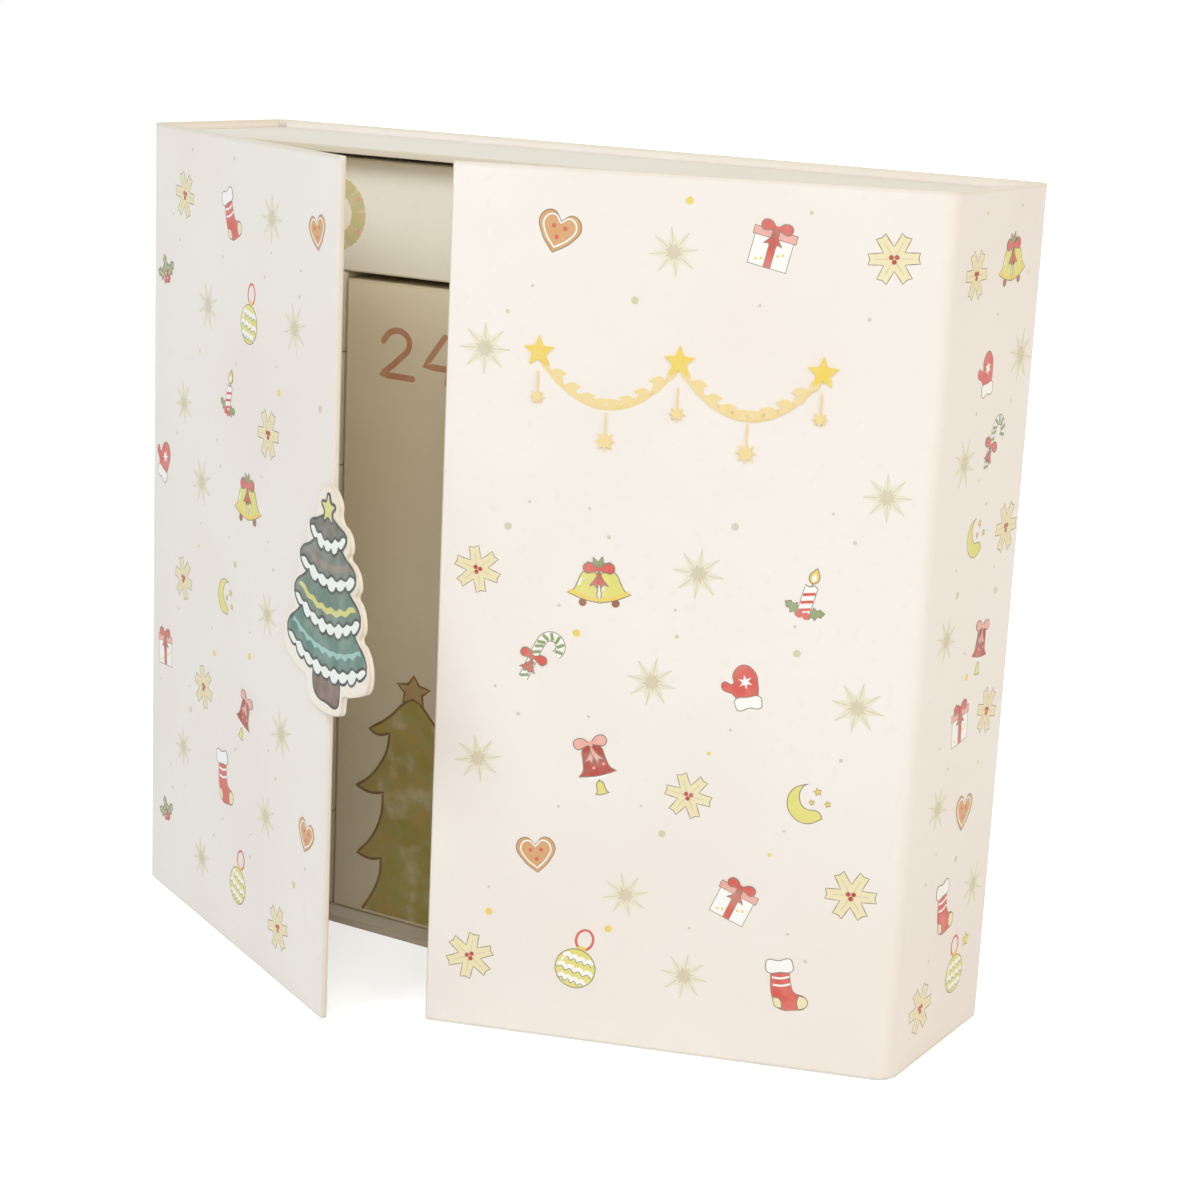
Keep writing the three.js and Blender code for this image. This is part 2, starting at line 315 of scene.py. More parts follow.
class Plan:
    """A wire in plan that grows from its tip: forward, or round a bend. Millimetres."""

    def __init__(self, x, y, heading):
        self.bm = bmesh.new()
        self.tip = self.bm.verts.new((x, y, 0))
        self.heading = degrees(heading)

    def direction(self, turn=0):
        angle = self.heading + turn
        return Vector((math.cos(angle), math.sin(angle), 0))

    def forward(self, distance):
        self.tip = bmesh.ops.extrude_vert_indiv(self.bm, verts=[self.tip])["verts"][0]
        bmesh.ops.translate(self.bm, verts=[self.tip], vec=self.direction() * distance)
        return self

    def bend(self, angle, radius=0.0):
        """Turns left by a positive angle, in degrees, on a radius or on the spot."""
        angle = degrees(angle)
        if radius:
            side = math.copysign(math.pi / 2, angle)
            centre = self.tip.co + self.direction(side) * radius
            made = bmesh.ops.spin(self.bm, geom=[self.tip], cent=centre, axis=(0, 0, 1), angle=angle,
                                  steps=sweep_steps(angle, radius / 10), use_duplicate=False)
            self.tip = next(item for item in made["geom_last"] if isinstance(item, bmesh.types.BMVert))
        self.heading += angle
        return self

    def raised(self, height):
        """Closes and fills the outline and raises it to a height."""
        bmesh.ops.remove_doubles(self.bm, verts=self.bm.verts, dist=0.01)
        bmesh.ops.contextual_create(self.bm, geom=self.bm.edges[:])
        extruded(self.bm, self.bm.faces[:], (0, 0, height))
        bmesh.ops.recalc_face_normals(self.bm, faces=self.bm.faces)
        return self.bm


# %% [markdown]
# The wrapped edges at the top and bottom are rounded by a small bevel. Two cuts near them keep the edge
# tone to a narrow band, because an attribute fades evenly from one ring of points to the next.

# %% Rounded edges and their tone
EDGE_ROUND = 0.32
EDGE_BAND = 1.6
BAND_SLACK = 0.5


def round_off(bm, edges, by, segments=3):
    bmesh.ops.bevel(bm, geom=edges, offset=by, segments=segments, profile=0.5, affect="EDGES", material=-1)


def cut_across(bm, point, normal):
    """Cuts every face that a plane crosses."""
    bmesh.ops.bisect_plane(bm, geom=bm.verts[:] + bm.edges[:] + bm.faces[:], plane_co=point, plane_no=normal)


def at_rim(point):
    """Whether a point of the cover is in the narrow band along its top or bottom edge."""
    return not EDGE_BAND - BAND_SLACK < point.z < HEIGHT - EDGE_BAND + BAND_SLACK


def round_rims(bm, height, joint_y):
    """Rounds the edges of the top and bottom faces, but not where the wrap goes on past a joint."""
    rims = []
    for edge in bm.edges:
        levels = {round(vert.co.z, 2) for vert in edge.verts}
        at_joint = all(abs(vert.co.y - joint_y) < 0.01 for vert in edge.verts)
        if levels in ({0.0}, {round(height, 2)}) and not at_joint:
            rims.append(edge)
    round_off(bm, rims, EDGE_ROUND)
    for level in (EDGE_BAND, height - EDGE_BAND):
        cut_across(bm, (0, 0, level), (0, 0, 1))


def tone_edges(bm, near_edge):
    """Sets the edge tone to 1 where near_edge(point) is true."""
    tone = bm.verts.layers.float.new("edge")
    for vert in bm.verts:
        vert[tone] = float(near_edge(vert.co))


def finished(name, bm, materials, smooth=40):
    """A bmesh in millimetres as an object in metres, shaded smooth up to an angle."""
    bmesh.ops.transform(bm, matrix=Matrix.Scale(MM, 4), verts=bm.verts)
    mesh = bpy.data.meshes.new(name)
    for face in bm.faces:
        face.smooth = True
    for edge in bm.edges:
        if len(edge.link_faces) == 2 and edge.calc_face_angle(0) > math.radians(smooth):
            edge.smooth = False
    bm.to_mesh(mesh)
    bm.free()
    for material in materials:
        mesh.materials.append(material)
    piece = bpy.data.objects.new(name, mesh)
    scene.collection.objects.link(piece)
    return piece


# %% [markdown]
# The two leaves differ only in how far they stand open and in which hand they are, so one function makes
# the left form and the right one is its mirror image. A spun bend at the hinge has the length of the real
# paper: it starts where the side board stops and ends where the door board starts. The doors clear the
# floor by half a millimetre, so the wrap's lower edge steps up on a short ramp in the bend. The right
# door also has a round pocket in its inner face, where a hidden steel disc lies. A Boolean cuts it with a
# disc that is a little larger.

# %% The left and right wraps
HINGE_RADIUS = 6
PIVOT_INSET = 1.29
PAPER = 0.8
BOARD_CORNER = 0.4
DOOR_EDGE = 1.0
DOOR_SLIT = 1.0
DOOR_LIFT = 0.5
LIFT_RAMP = 0.5
LEFT_OPEN = 27.3
RIGHT_OPEN = 18.8
KEEPER_ROOM = (6.3, 1.8)

spine_low, spine_high = (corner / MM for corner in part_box("left_spine"))
_, case_high = (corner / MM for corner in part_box("back_panel"))
HALF_WIDTH = -spine_low.x
BOARD = spine_high.x - spine_low.x
HEIGHT = spine_high.z
FRONT = spine_low.y - HINGE_RADIUS
BACK = case_high.y
SPINE_DEPTH = spine_high.y - spine_low.y
DOOR_START = HINGE_RADIUS - PIVOT_INSET
DOOR_LENGTH = HALF_WIDTH - PIVOT_INSET - DOOR_SLIT / 2 - DOOR_START
PIVOT = Vector((-HALF_WIDTH + PIVOT_INSET, FRONT + PIVOT_INSET, 0))


def left_door_frame(opening):
    """Carries a left door, drawn closed about its pivot, to where it stands open."""
    return Matrix.Translation(PIVOT) @ Matrix.Rotation(degrees(-opening), 4, "Z")


def holder_of(bm):
    mesh = bpy.data.meshes.new("holder")
    bm.to_mesh(mesh)
    bm.free()
    holder = bpy.data.objects.new("holder", mesh)
    scene.collection.objects.link(holder)
    return holder


def cut_out(bm, cutter):
    """What is left of a closed shape when another is cut out of it."""
    whole, knife = holder_of(bm), holder_of(cutter)
    cut = whole.modifiers.new("cut", "BOOLEAN")
    cut.operation, cut.solver, cut.object = "DIFFERENCE", "EXACT", knife
    result = bmesh.new()
    result.from_mesh(whole.evaluated_get(bpy.context.evaluated_depsgraph_get()).data)
    for holder in (whole, knife):
        mesh = holder.data
        bpy.data.objects.remove(holder)
        bpy.data.meshes.remove(mesh)
    return result


def keeper_pocket():
    """The room round the steel disc in the right door, as a round shape to cut out."""
    low, high = (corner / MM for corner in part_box("steel_keeper"))
    cutter = bmesh.new()
    bmesh.ops.create_cone(cutter, cap_ends=True, segments=48, radius1=KEEPER_ROOM[0], radius2=KEEPER_ROOM[0],
                          depth=KEEPER_ROOM[1])
    turn = Matrix.Rotation(degrees(RIGHT_OPEN), 4, "Z") @ Matrix.Rotation(degrees(90), 4, "X")
    bmesh.ops.transform(cutter, matrix=Matrix.Translation((low + high) / 2) @ turn, verts=cutter.verts)
    return cutter


def leaf_wrap(name, side):
    opening = LEFT_OPEN if side < 0 else RIGHT_OPEN
    turn = 90 - opening
    door_start = left_door_frame(opening) @ Vector((DOOR_START, -PIVOT_INSET, 0))
    bend_start = Vector((-HALF_WIDTH, FRONT + HINGE_RADIUS, 0))
    radius = (door_start.x - bend_start.x) / (1 - math.cos(degrees(turn)))
    step = BOARD - PAPER - 2 * BOARD_CORNER
    plan = Plan(-HALF_WIDTH, spine_high.y, -90)
    plan.forward(SPINE_DEPTH).bend(turn, radius)
    plan.forward(DOOR_LENGTH - DOOR_EDGE - EDGE_BAND).forward(EDGE_BAND)
    plan.bend(90, DOOR_EDGE).forward(BOARD - 2 * DOOR_EDGE).bend(90, DOOR_EDGE).forward(EDGE_BAND)
    plan.forward(DOOR_LENGTH - DOOR_EDGE - EDGE_BAND - 2 * BOARD_CORNER).bend(90, BOARD_CORNER).forward(step)
    plan.bend(-90, BOARD_CORNER).bend(-turn, radius - PAPER)
    plan.bend(-90, BOARD_CORNER).forward(step).bend(90, BOARD_CORNER)
    plan.forward(SPINE_DEPTH - 2 * BOARD_CORNER).bend(90).forward(BOARD)
    bm = plan.raised(HEIGHT)
    round_rims(bm, HEIGHT, spine_high.y)
    for y in (bend_start.y, bend_start.y - LIFT_RAMP):
        cut_across(bm, (0, y, 0), (0, 1, 0))
    for vert in bm.verts:
        if vert.co.z < EDGE_BAND / 2 and vert.co.y < bend_start.y - LIFT_RAMP / 2:
            vert.co.z += DOOR_LIFT
    as_closed = left_door_frame(opening).inverted()
    free_edge = DOOR_START + DOOR_LENGTH - DOOR_EDGE / 2
    tone_edges(bm, lambda point: at_rim(point) or (as_closed @ point).x > free_edge)
    if side > 0:
        bmesh.ops.scale(bm, vec=(-1, 1, 1), verts=bm.verts)
        bmesh.ops.reverse_faces(bm, faces=bm.faces)
        bm = cut_out(bm, keeper_pocket())
    wrap = finished(name, bm, [cover_paper])
    for point in (bend_start, door_start):
        point.x *= -side
    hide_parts(*(f"{name.split('_')[0]}_{part}" for part in ("spine", "hinge_strip", "door")))
    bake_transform(wrap)
    print(name, "hinge radius", round(radius, 2), "mm, points", len(wrap.data.vertices))
    return wrap


leaf_wrap("left_wrap", -1)
leaf_wrap("right_wrap", 1)

# %% [markdown]
# Behind, the wrap runs from one side board round the back panel to the other. It meets the side boards'
# wrap edge to edge on a flat wall, with the same tone and grain on both sides, so no seam shows. Cutting
# the cover there leaves each side's wrap with one hinge bend only.

# %% The rear wrap
REAR_RADIUS = BACK - spine_high.y

plan = Plan(HALF_WIDTH, spine_high.y, 90)
plan.bend(90, REAR_RADIUS).forward(2 * (HALF_WIDTH - REAR_RADIUS)).bend(90, REAR_RADIUS)
plan.bend(90).forward(PAPER).bend(90).bend(-90, REAR_RADIUS - PAPER)
plan.bend(-90).forward(BOARD - PAPER).bend(90).forward(2 * (HALF_WIDTH - REAR_RADIUS))
plan.bend(90).forward(BOARD - PAPER).bend(-90).bend(-90, REAR_RADIUS - PAPER)
bm = plan.raised(HEIGHT)
round_rims(bm, HEIGHT, spine_high.y)
tone_edges(bm, at_rim)
rear_wrap = finished("rear_wrap", bm, [cover_paper])
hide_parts("back_panel", "left_rear_bend", "right_rear_bend")
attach(rear_wrap, "case")
print("rear wrap points:", len(rear_wrap.data.vertices))

# %% [markdown]
# The tray's boards and the doors' liners have the right shape already, but their edges are dead sharp,
# and paper over board never is. Each gets a copy of its solid, merged into a clean closed shape, whose
# edges are bevelled. A ring set in from each edge then keeps the edge tone narrow.

# %% Softened boards
def merged_copy(node):
    """A CAD solid as a clean bmesh in millimetres: its loose triangles joined into flat faces."""
    bm = bmesh.new()
    bm.from_mesh(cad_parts[node].data)
    bmesh.ops.transform(bm, matrix=Matrix.Scale(1 / MM, 4), verts=bm.verts)
    bmesh.ops.remove_doubles(bm, verts=bm.verts, dist=0.005)
    bmesh.ops.dissolve_limit(bm, angle_limit=degrees(1), verts=bm.verts, edges=bm.edges)
    bmesh.ops.recalc_face_normals(bm, faces=bm.faces)
    return bm


def softened(bm, round_by, band):
    """Bevels a closed board, and sets a ring in from the edges of its flat faces for the edge tone."""
    round_off(bm, [edge for edge in bm.edges if edge.calc_face_angle(0) > degrees(30)], round_by)
    tone = bm.verts.layers.float.new("edge")
    for vert in bm.verts:
        vert[tone] = 1.0
    wide = [face for face in bm.faces if min(edge.calc_length() for edge in face.edges) > 3 * band]
    bmesh.ops.inset_individual(bm, faces=wide, thickness=band)
    for face in wide:
        for vert in face.verts:
            vert[tone] = 0.0
    return bm


def softened_board(node, body, material, round_by=0.3, band=1.2):
    piece = finished(node + "_wrapped", softened(merged_copy(node), round_by, band), [material])
    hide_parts(node)
    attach(piece, body)
    return piece


for wall in ("bottom", "top", "left", "right", "back"):
    softened_board("tray_" + wall, "case", tray_paper)
for hand in ("left", "right"):
    softened_board(hand + "_door_liner", hand + "_leaf", lining_paper, round_by=0.15)

# %% [markdown]
# Every print is built from three kinds of ink mark: a filled shape, a brush line and a dot. A filled
# shape is a flat Bezier curve that Blender closes and thickens. A brush line is a curve with a round
# section, pressed almost flat. All are real layers, hundredths of a millimetre thick, which stack in the
# order that they were drawn, so nothing flickers, and the marks stay sharp however near the camera is.

# %% Marks of ink
INK_SUNK = 0.02
INK_LAYER = 0.012
UNDERSIDE = -0.1
CURVE_STEPS = 5
CORNER = "corner"


def add_spline(curve, points, closed):
    """A Bezier spline through points. A point marked as a corner stays sharp, and the rest are smooth."""
    spline = curve.splines.new("BEZIER")
    spline.bezier_points.add(len(points) - 1)
    spline.use_cyclic_u = closed
    for knot, point in zip(spline.bezier_points, points):
        knot.co = (point[0], point[1], 0)
        kind = "VECTOR" if CORNER in point else "AUTO"
        knot.handle_left_type = knot.handle_right_type = kind


def curve_through(points, closed):
    """A curve of one spline. Its points need two numbers each."""
    curve = bpy.data.curves.new("mark", "CURVE")
    curve.resolution_u = CURVE_STEPS
    add_spline(curve, points, closed)
    return curve


def curve_mesh(curve):
    """The curve as a mesh. The curve itself goes."""
    holder = bpy.data.objects.new("mark", curve)
    mesh = bpy.data.meshes.new_from_object(holder)
    bpy.data.objects.remove(holder)
    bpy.data.curves.remove(curve)
    return mesh


class Print:
    """The ink on one flat face. Marks are drawn in millimetres, and move() sets where the next ones go."""

    def __init__(self, origin, right, up):
        right, up = Vector(right).normalized(), Vector(up).normalized()
        turn = Matrix((right, up, right.cross(up))).transposed().to_4x4()
        self.face = Matrix.Translation(origin) @ turn
        self.bm = bmesh.new()
        self.colours = self.bm.loops.layers.float_color.new("ink")
        self.layer = 0
        self.move(0, 0)

    def move(self, x, y, turn=0, size=1.0):
        """Sets where the next marks go, and starts again at the lowest layer."""
        shape = Matrix.Rotation(degrees(turn), 4, "Z") @ Matrix.Diagonal((size, size, 1, 1))
        self.place = Matrix.Translation((x, y, 0)) @ shape
        self.layer = 0

    def keep(self, mesh, colour):
        """Adds a mark's mesh to the print, in its place and colour."""
        mesh.transform(self.place)
        first = len(self.bm.faces)
        self.bm.from_mesh(mesh)
        bpy.data.meshes.remove(mesh)
        self.bm.faces.ensure_lookup_table()
        for face in self.bm.faces[first:]:
            for loop in face.loops:
                loop[self.colours] = colour
        self.layer += 1

    def fill(self, outline, colour):
        """A filled shape: one millimetre thick as a curve, then pressed to its layer."""
        curve = curve_through(outline, closed=True)
        curve.dimensions = "2D"
        curve.fill_mode = "BOTH"
        curve.extrude = 0.5
        mesh = curve_mesh(curve)
        thickness = INK_SUNK + (self.layer + 1) * INK_LAYER
        middle = thickness / 2 - INK_SUNK
        mesh.transform(Matrix.Translation((0, 0, middle)) @ Matrix.Diagonal((1, 1, thickness, 1)))
        self.keep(mesh, colour)

    def line(self, points, width, colour, closed=False):
        """A round line pressed flat: its back goes into the paper, and its front keeps a low crown."""
        curve = curve_through(points, closed)
        curve.dimensions = "3D"
        curve.bevel_depth = width / 2
        curve.bevel_resolution = 2
        curve.use_fill_caps = True
        mesh = curve_mesh(curve)
        for vert in mesh.vertices:
            share = 2 * vert.co.z / width
            vert.co.z = -INK_SUNK if share < UNDERSIDE else (self.layer + max(share, 0)) * INK_LAYER
        self.keep(mesh, colour)

    def dot(self, x, y, radius, colour, steps=16):
        drop = bmesh.new()
        bmesh.ops.create_cone(drop, cap_ends=True, segments=steps, radius1=radius, radius2=radius,
                              depth=INK_SUNK + (self.layer + 1) * INK_LAYER)
        middle = (self.layer + 1) * INK_LAYER / 2 - INK_SUNK / 2
        bmesh.ops.translate(drop, verts=drop.verts, vec=(x, y, middle))
        mesh = bpy.data.meshes.new("dot")
        drop.to_mesh(mesh)
        drop.free()
        self.keep(mesh, colour)

    def brush(self, points, width, colour, closed=False):
        """A line with round ends."""
        self.line(points, width, colour, closed)
        if not closed:
            for end in (points[0], points[-1]):
                self.layer -= 1
                self.dot(end[0], end[1], width / 2, colour, steps=12)

    def finish(self, name, body, film=ink):
        """The whole print as one piece that moves with a body."""
        bmesh.ops.remove_doubles(self.bm, verts=self.bm.verts, dist=0.0005)
        bmesh.ops.recalc_face_normals(self.bm, faces=self.bm.faces)
        bmesh.ops.transform(self.bm, matrix=self.face, verts=self.bm.verts)
        piece = finished(name, self.bm, [film])
        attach(piece, body)
        return piece


# %% [markdown]
# The prints are winter ornaments in thin watercolour with a fine pencil outline. Each ornament is a
# function that draws itself round its own centre, so it can be used anywhere, at any turn. Colours are
# named once, as they look on the paper.

# %% Colours and common outlines
PENCIL = srgb(140, 124, 104)
PENCIL_WIDTH = 0.34
WHITE = srgb(252, 248, 242)
PALE = srgb(235, 226, 203)
PALE_DEEP = srgb(214, 202, 172)
BISCUIT = srgb(238, 224, 178)
GOLD = srgb(240, 208, 96)
YELLOW = srgb(228, 219, 122)
STRAW = srgb(240, 214, 150)
OLIVE = srgb(212, 206, 164)
GREY = srgb(214, 204, 184)
LEAF = srgb(142, 160, 104)
RED = srgb(216, 92, 82)
DEEP_RED = srgb(180, 70, 58)
ROSE = srgb(238, 170, 158)
BROWN = srgb(152, 98, 66)
GINGER = srgb(214, 160, 104)


def polar(radius, angle):
    return (radius * math.cos(degrees(angle)), radius * math.sin(degrees(angle)))


def cornered(outline):
    return [point + (CORNER,) for point in outline]


def star_outline(points, outer, inner, turn=90.0):
    """A star with sharp points."""
    step = 180 / points
    return cornered([polar(inner if k % 2 else outer, turn + k * step) for k in range(2 * points)])


def circle_outline(radius, x=0.0, y=0.0, squeeze=1.0, count=8):
    ring = [polar(radius, k * 360 / count) for k in range(count)]
    return [(x + px, y + py * squeeze) for px, py in ring]


def placed(outline, x=0.0, y=0.0, turn=0.0, size=1.0):
    """An outline moved, turned and scaled, with its corners kept."""
    cos, sin = math.cos(degrees(turn)) * size, math.sin(degrees(turn)) * size
    return [(x + p[0] * cos - p[1] * sin, y + p[0] * sin + p[1] * cos) + tuple(p[2:]) for p in outline]


def mirrored(outline):
    return [(-p[0], p[1]) + tuple(p[2:]) for p in reversed(outline)]


def shape(ink_print, outline, colour, width=PENCIL_WIDTH):
    """A filled shape with its pencil outline."""
    ink_print.fill(outline, colour)
    ink_print.line(outline, width, PENCIL, closed=True)


# %% [markdown]
# The quiet ornaments come first: pale folded stars, biscuit-coloured frost flakes and small stars. They
# are most of what covers the paper, so they are drawn with few marks.

# %% Stars and flakes
def folded_star(p):
    p.fill(star_outline(8, 8.6, 4.0, turn=12), PALE)
    for k in range(4):
        angle = 12 + 45 * k
        p.line([polar(8.4, angle), polar(8.4, angle + 180)], 0.28, PALE_DEEP)
    p.fill(star_outline(8, 3.4, 1.9, turn=34), PALE_DEEP)


def frost_flake(p):
    outline = []
    for k in range(6):
        for offset, radius in ((-16, 6.6), (-12, 8.6), (0, 7.9), (12, 8.6), (16, 6.6), (30, 4.0)):
            outline.append(polar(radius, 60 * k + offset))
    shape(p, cornered(outline), BISCUIT)
    for k in range(6):
        p.line([polar(1.6, 60 * k), polar(6.0, 60 * k)], 0.3, PALE_DEEP)
    for x, y in ((0.9, 0.5), (-0.9, 0.5), (0, -1.0)):
        p.dot(x, y, 0.8, DEEP_RED, steps=10)


def small_star(p):
    shape(p, star_outline(5, 3.1, 1.5), GOLD, width=0.3)


# %% [markdown]
# The hanging ornaments are a striped glass ball, a pair of brass bells and a red felt bell. Bows come
# back on several of them, so a bow is a function of its own.

# %% Balls, bells and bows
def bow(p, x, y, size, colour, turn=0.0):
    loop = [(0, 0, CORNER), (-3.4, 2.6), (-6.0, 1.6), (-5.4, -1.2), (-2.6, -1.0)]
    tail = [(0, 0, CORNER), (-1.2, -3.4), (-3.8, -6.6, CORNER), (-1.9, -6.0, CORNER), (-1.0, -7.4, CORNER),
            (0.6, -3.0)]
    for part in (tail, mirrored(tail), loop, mirrored(loop)):
        shape(p, placed(part, x, y, turn, size), colour)
    p.dot(x, y, 1.0 * size, colour, steps=12)


def glass_ball(p):
    radius = 7.0
    p.line(circle_outline(2.9, 0, 11.0, squeeze=1.25), 0.9, RED, closed=True)
    p.fill(cornered([(-1.6, 6.4), (1.6, 6.4), (1.3, 8.4), (-1.3, 8.4)]), GOLD)
    shape(p, circle_outline(radius), YELLOW)
    for level in (3.6, -0.4, -4.2):
        half = math.sqrt((radius - 0.7) ** 2 - level ** 2)
        count = 8
        wave = [(-half + 2 * half * k / count, level + (0.5 if k % 2 else -0.5)) for k in range(count + 1)]
        p.line(wave, 1.7, WHITE)
        p.line([(x, y - 0.9) for x, y in wave], 0.3, PENCIL)
    p.line([polar(5.4, 128), polar(5.6, 148), polar(5.4, 168)], 0.7, WHITE)


def bell_outline(width, height):
    half = [(1.4, 1.0), (3.3, 0.86), (4.2, 0.45), (5.0, 0.16), (7.0, 0.0, CORNER)]
    scaled = [(p[0] / 7 * width / 2, p[1] * height) + tuple(p[2:]) for p in half]
    return scaled + [(0, -0.06 * height)] + mirrored(scaled)


def brass_bells(p):
    for side in (-1, 1):
        body = placed(bell_outline(12, 9.5), side * 5.2, -5.2, side * 16)
        clapper = placed([(0, -1.6)], side * 5.2, -5.2, side * 16)[0]
        p.dot(clapper[0], clapper[1], 1.4, BROWN, steps=12)
        shape(p, body, YELLOW)
        p.line(placed([(-5.4, 0.9), (0, 0.2), (5.4, 0.9)], side * 5.2, -5.2, side * 16), 1.2, GOLD)
        p.line(placed([(-2.4, 6.4), (-3.0, 3.6)], side * 5.2, -5.2, side * 16), 0.7, WHITE)
    for turn in (35, 75, 115, 145):
        leaf = [(0, 0, CORNER), (1.0, 2.2), (0, 5.4, CORNER), (-1.0, 2.2)]
        shape(p, placed(leaf, 0, 4.4, turn - 90, 0.9), LEAF, width=0.25)
    bow(p, 0, 4.6, 0.85, RED)


def felt_bell(p):
    p.brush([(0, -4.6), (0, -8.0)], 0.4, PENCIL)
    shape(p, placed(bell_outline(4.6, 4.2), 0, -11.4), YELLOW)
    for x in (-2.0, 0, 2.0):
        p.dot(x, -5.2, 1.3, WHITE, steps=10)
    shape(p, placed(bell_outline(13, 10.5), 0, -4.6), DEEP_RED)
    for x, y in ((-2.4, 0.6), (1.0, 2.6), (2.8, -1.6), (-0.8, -2.4)):
        p.dot(x, y, 0.5, ROSE, steps=8)
    bow(p, 0, 5.8, 0.9, ROSE)


# %% [markdown]
# Then the warm ones: stocking, mitten, cane, parcel, holly, candle, heart and crescent. The cane shows a
# handy trick. Its stripes are short lines set square to one path, so the same formula that draws the hook
# places them.

# %% Stocking and mitten
def stocking(p):
    foot = [(-3.4, 7.0, CORNER), (3.4, 7.0, CORNER), (3.5, 0.6), (4.2, -1.8), (8.2, -4.2), (8.0, -7.6),
            (3.6, -8.6), (-2.0, -7.6), (-3.8, -3.4)]
    shape(p, foot, RED)
    toe = [(6.0, -3.2, CORNER), (8.6, -4.6), (8.0, -7.6), (5.2, -8.4, CORNER), (4.9, -5.6)]
    heel = [(-3.7, -3.2, CORNER), (-1.2, -4.2), (-0.8, -7.6, CORNER), (-3.0, -7.0)]
    for patch in (toe, heel):
        shape(p, patch, BISCUIT)
    for level in (4.2, 1.4):
        p.line([(-3.1, level), (0, level - 0.5), (3.2, level)], 0.8, WHITE)
    cuff = [(-4.6, 6.4), (0, 6.0), (4.6, 6.4), (4.9, 9.0), (4.2, 10.8), (0, 10.4), (-4.2, 10.8), (-4.9, 9.0)]
    shape(p, cuff, WHITE)


def mitten(p):
    hand = [(-3.6, -4.6, CORNER), (3.6, -4.6, CORNER), (4.4, 0.0), (4.0, 4.8), (0.4, 7.6), (-3.6, 4.8),
            (-4.2, 1.4), (-7.2, 2.6), (-8.2, 0.4), (-4.8, -2.2)]
    shape(p, hand, RED)
    p.fill(placed(star_outline(6, 2.6, 1.0), 0.2, 1.6), WHITE)
    cuff = [(-4.4, -4.2), (0, -3.8), (4.4, -4.2), (4.6, -6.4), (4.0, -8.0), (0, -7.6), (-4.0, -8.0),
            (-4.6, -6.4)]
    shape(p, cuff, WHITE)


# %% Cane, parcel and holly
def candy_cane(p, stripe=RED):
    radius, rise = 3.6, 5.0
    hook = [polar(radius, 180 - angle) for angle in range(0, 211, 30)]
    path = [(-radius, -10.0), (-radius, -3.0)] + [(x, y + rise) for x, y in hook]
    p.line(path, 3.6, PENCIL)
    p.line(path, 3.0, WHITE)
    for k in range(6):
        y = -8.8 + 2.4 * k
        p.line([(-radius - 1.3, y - 0.8), (-radius + 1.3, y + 0.8)], 1.1, stripe)
    for angle in range(0, 210, 38):
        inner, outer = polar(radius - 1.3, 180 - angle - 8), polar(radius + 1.3, 180 - angle + 8)
        p.line([(inner[0], inner[1] + rise), (outer[0], outer[1] + rise)], 1.1, stripe)


def tied_cane(p):
    candy_cane(p, stripe=LEAF)
    bow(p, -3.6, -1.5, 0.8, RED)


def parcel(p):
    def band(low, high, half, colour):
        shape(p, cornered([(-half, low), (half, low), (half, high), (-half, high)]), colour)

    band(-7.0, 2.2, 6.2, WHITE)
    band(2.2, 4.8, 6.9, ROSE)
    for x in (-4.0, -2.4, 2.4, 4.0):
        p.dot(x, -3.6 + x * 0.4, 0.45, GOLD, steps=8)
    band(-7.0, 4.8, 1.1, RED)
    bow(p, 0, 5.4, 0.8, RED)


def holly_leaf():
    """A leaf from its stalk up, with spines on both sides."""
    right = [(0.9, 1.0), (2.4, 2.4, CORNER), (1.5, 3.8), (2.9, 5.2, CORNER), (1.4, 6.6), (1.9, 8.0, CORNER)]
    return [(0, 0, CORNER)] + right + [(0, 10.0, CORNER)] + mirrored(right)


def holly(p):
    for turn in (62, -58, 4):
        shape(p, placed(holly_leaf(), 0, 0, turn, 0.85), LEAF)
        p.line(placed([(0, 0.5), (0, 8.8)], 0, 0, turn, 0.85), 0.28, PALE)
    for x, y in ((-1.3, -0.3), (1.2, -0.5), (0.0, 1.4)):
        p.dot(x, y, 1.55, PENCIL, steps=12)
        p.dot(x, y, 1.3, RED, steps=12)
        p.dot(x - 0.4, y + 0.4, 0.35, WHITE, steps=8)


# %% Candle, heart and crescent
def candle(p):
    for turn in (70, -70):
        shape(p, placed(holly_leaf(), 0, -7.0, turn, 0.75), LEAF)
    stick = cornered([(-2.2, -7.5), (2.2, -7.5), (2.2, 3.0)]) + [(0.8, 3.6), (-0.6, 2.8), (-2.2, 3.2, CORNER)]
    shape(p, stick, WHITE)
    for level in (-5.4, -2.6, 0.2):
        p.line([(-2.0, level - 0.7), (2.0, level + 0.9)], 1.0, RED)
    p.line([(0, 3.2), (0, 4.6)], 0.35, PENCIL)
    shape(p, [(0, 4.2), (1.7, 6.0), (0, 9.8, CORNER), (-1.7, 6.0)], GOLD)
    p.fill([(0, 4.9), (0.8, 6.0), (0, 7.8, CORNER), (-0.8, 6.0)], WHITE)
    for x in (-1.2, 1.2):
        p.dot(x, -7.2, 1.3, RED, steps=12)


def biscuit_heart(p):
    right = [(3.4, 6.0), (6.6, 3.2), (4.8, -1.8)]
    heart = [(0, 3.4, CORNER)] + right + [(0, -6.4, CORNER)] + mirrored(right)
    shape(p, heart, GINGER)
    p.line(placed(heart, 0, 0.2, 0, 0.78), 0.5, WHITE, closed=True)
    for x, y in ((-1.8, 1.6), (1.8, 1.6), (0, -1.6)):
        p.dot(x, y, 0.7, RED, steps=10)


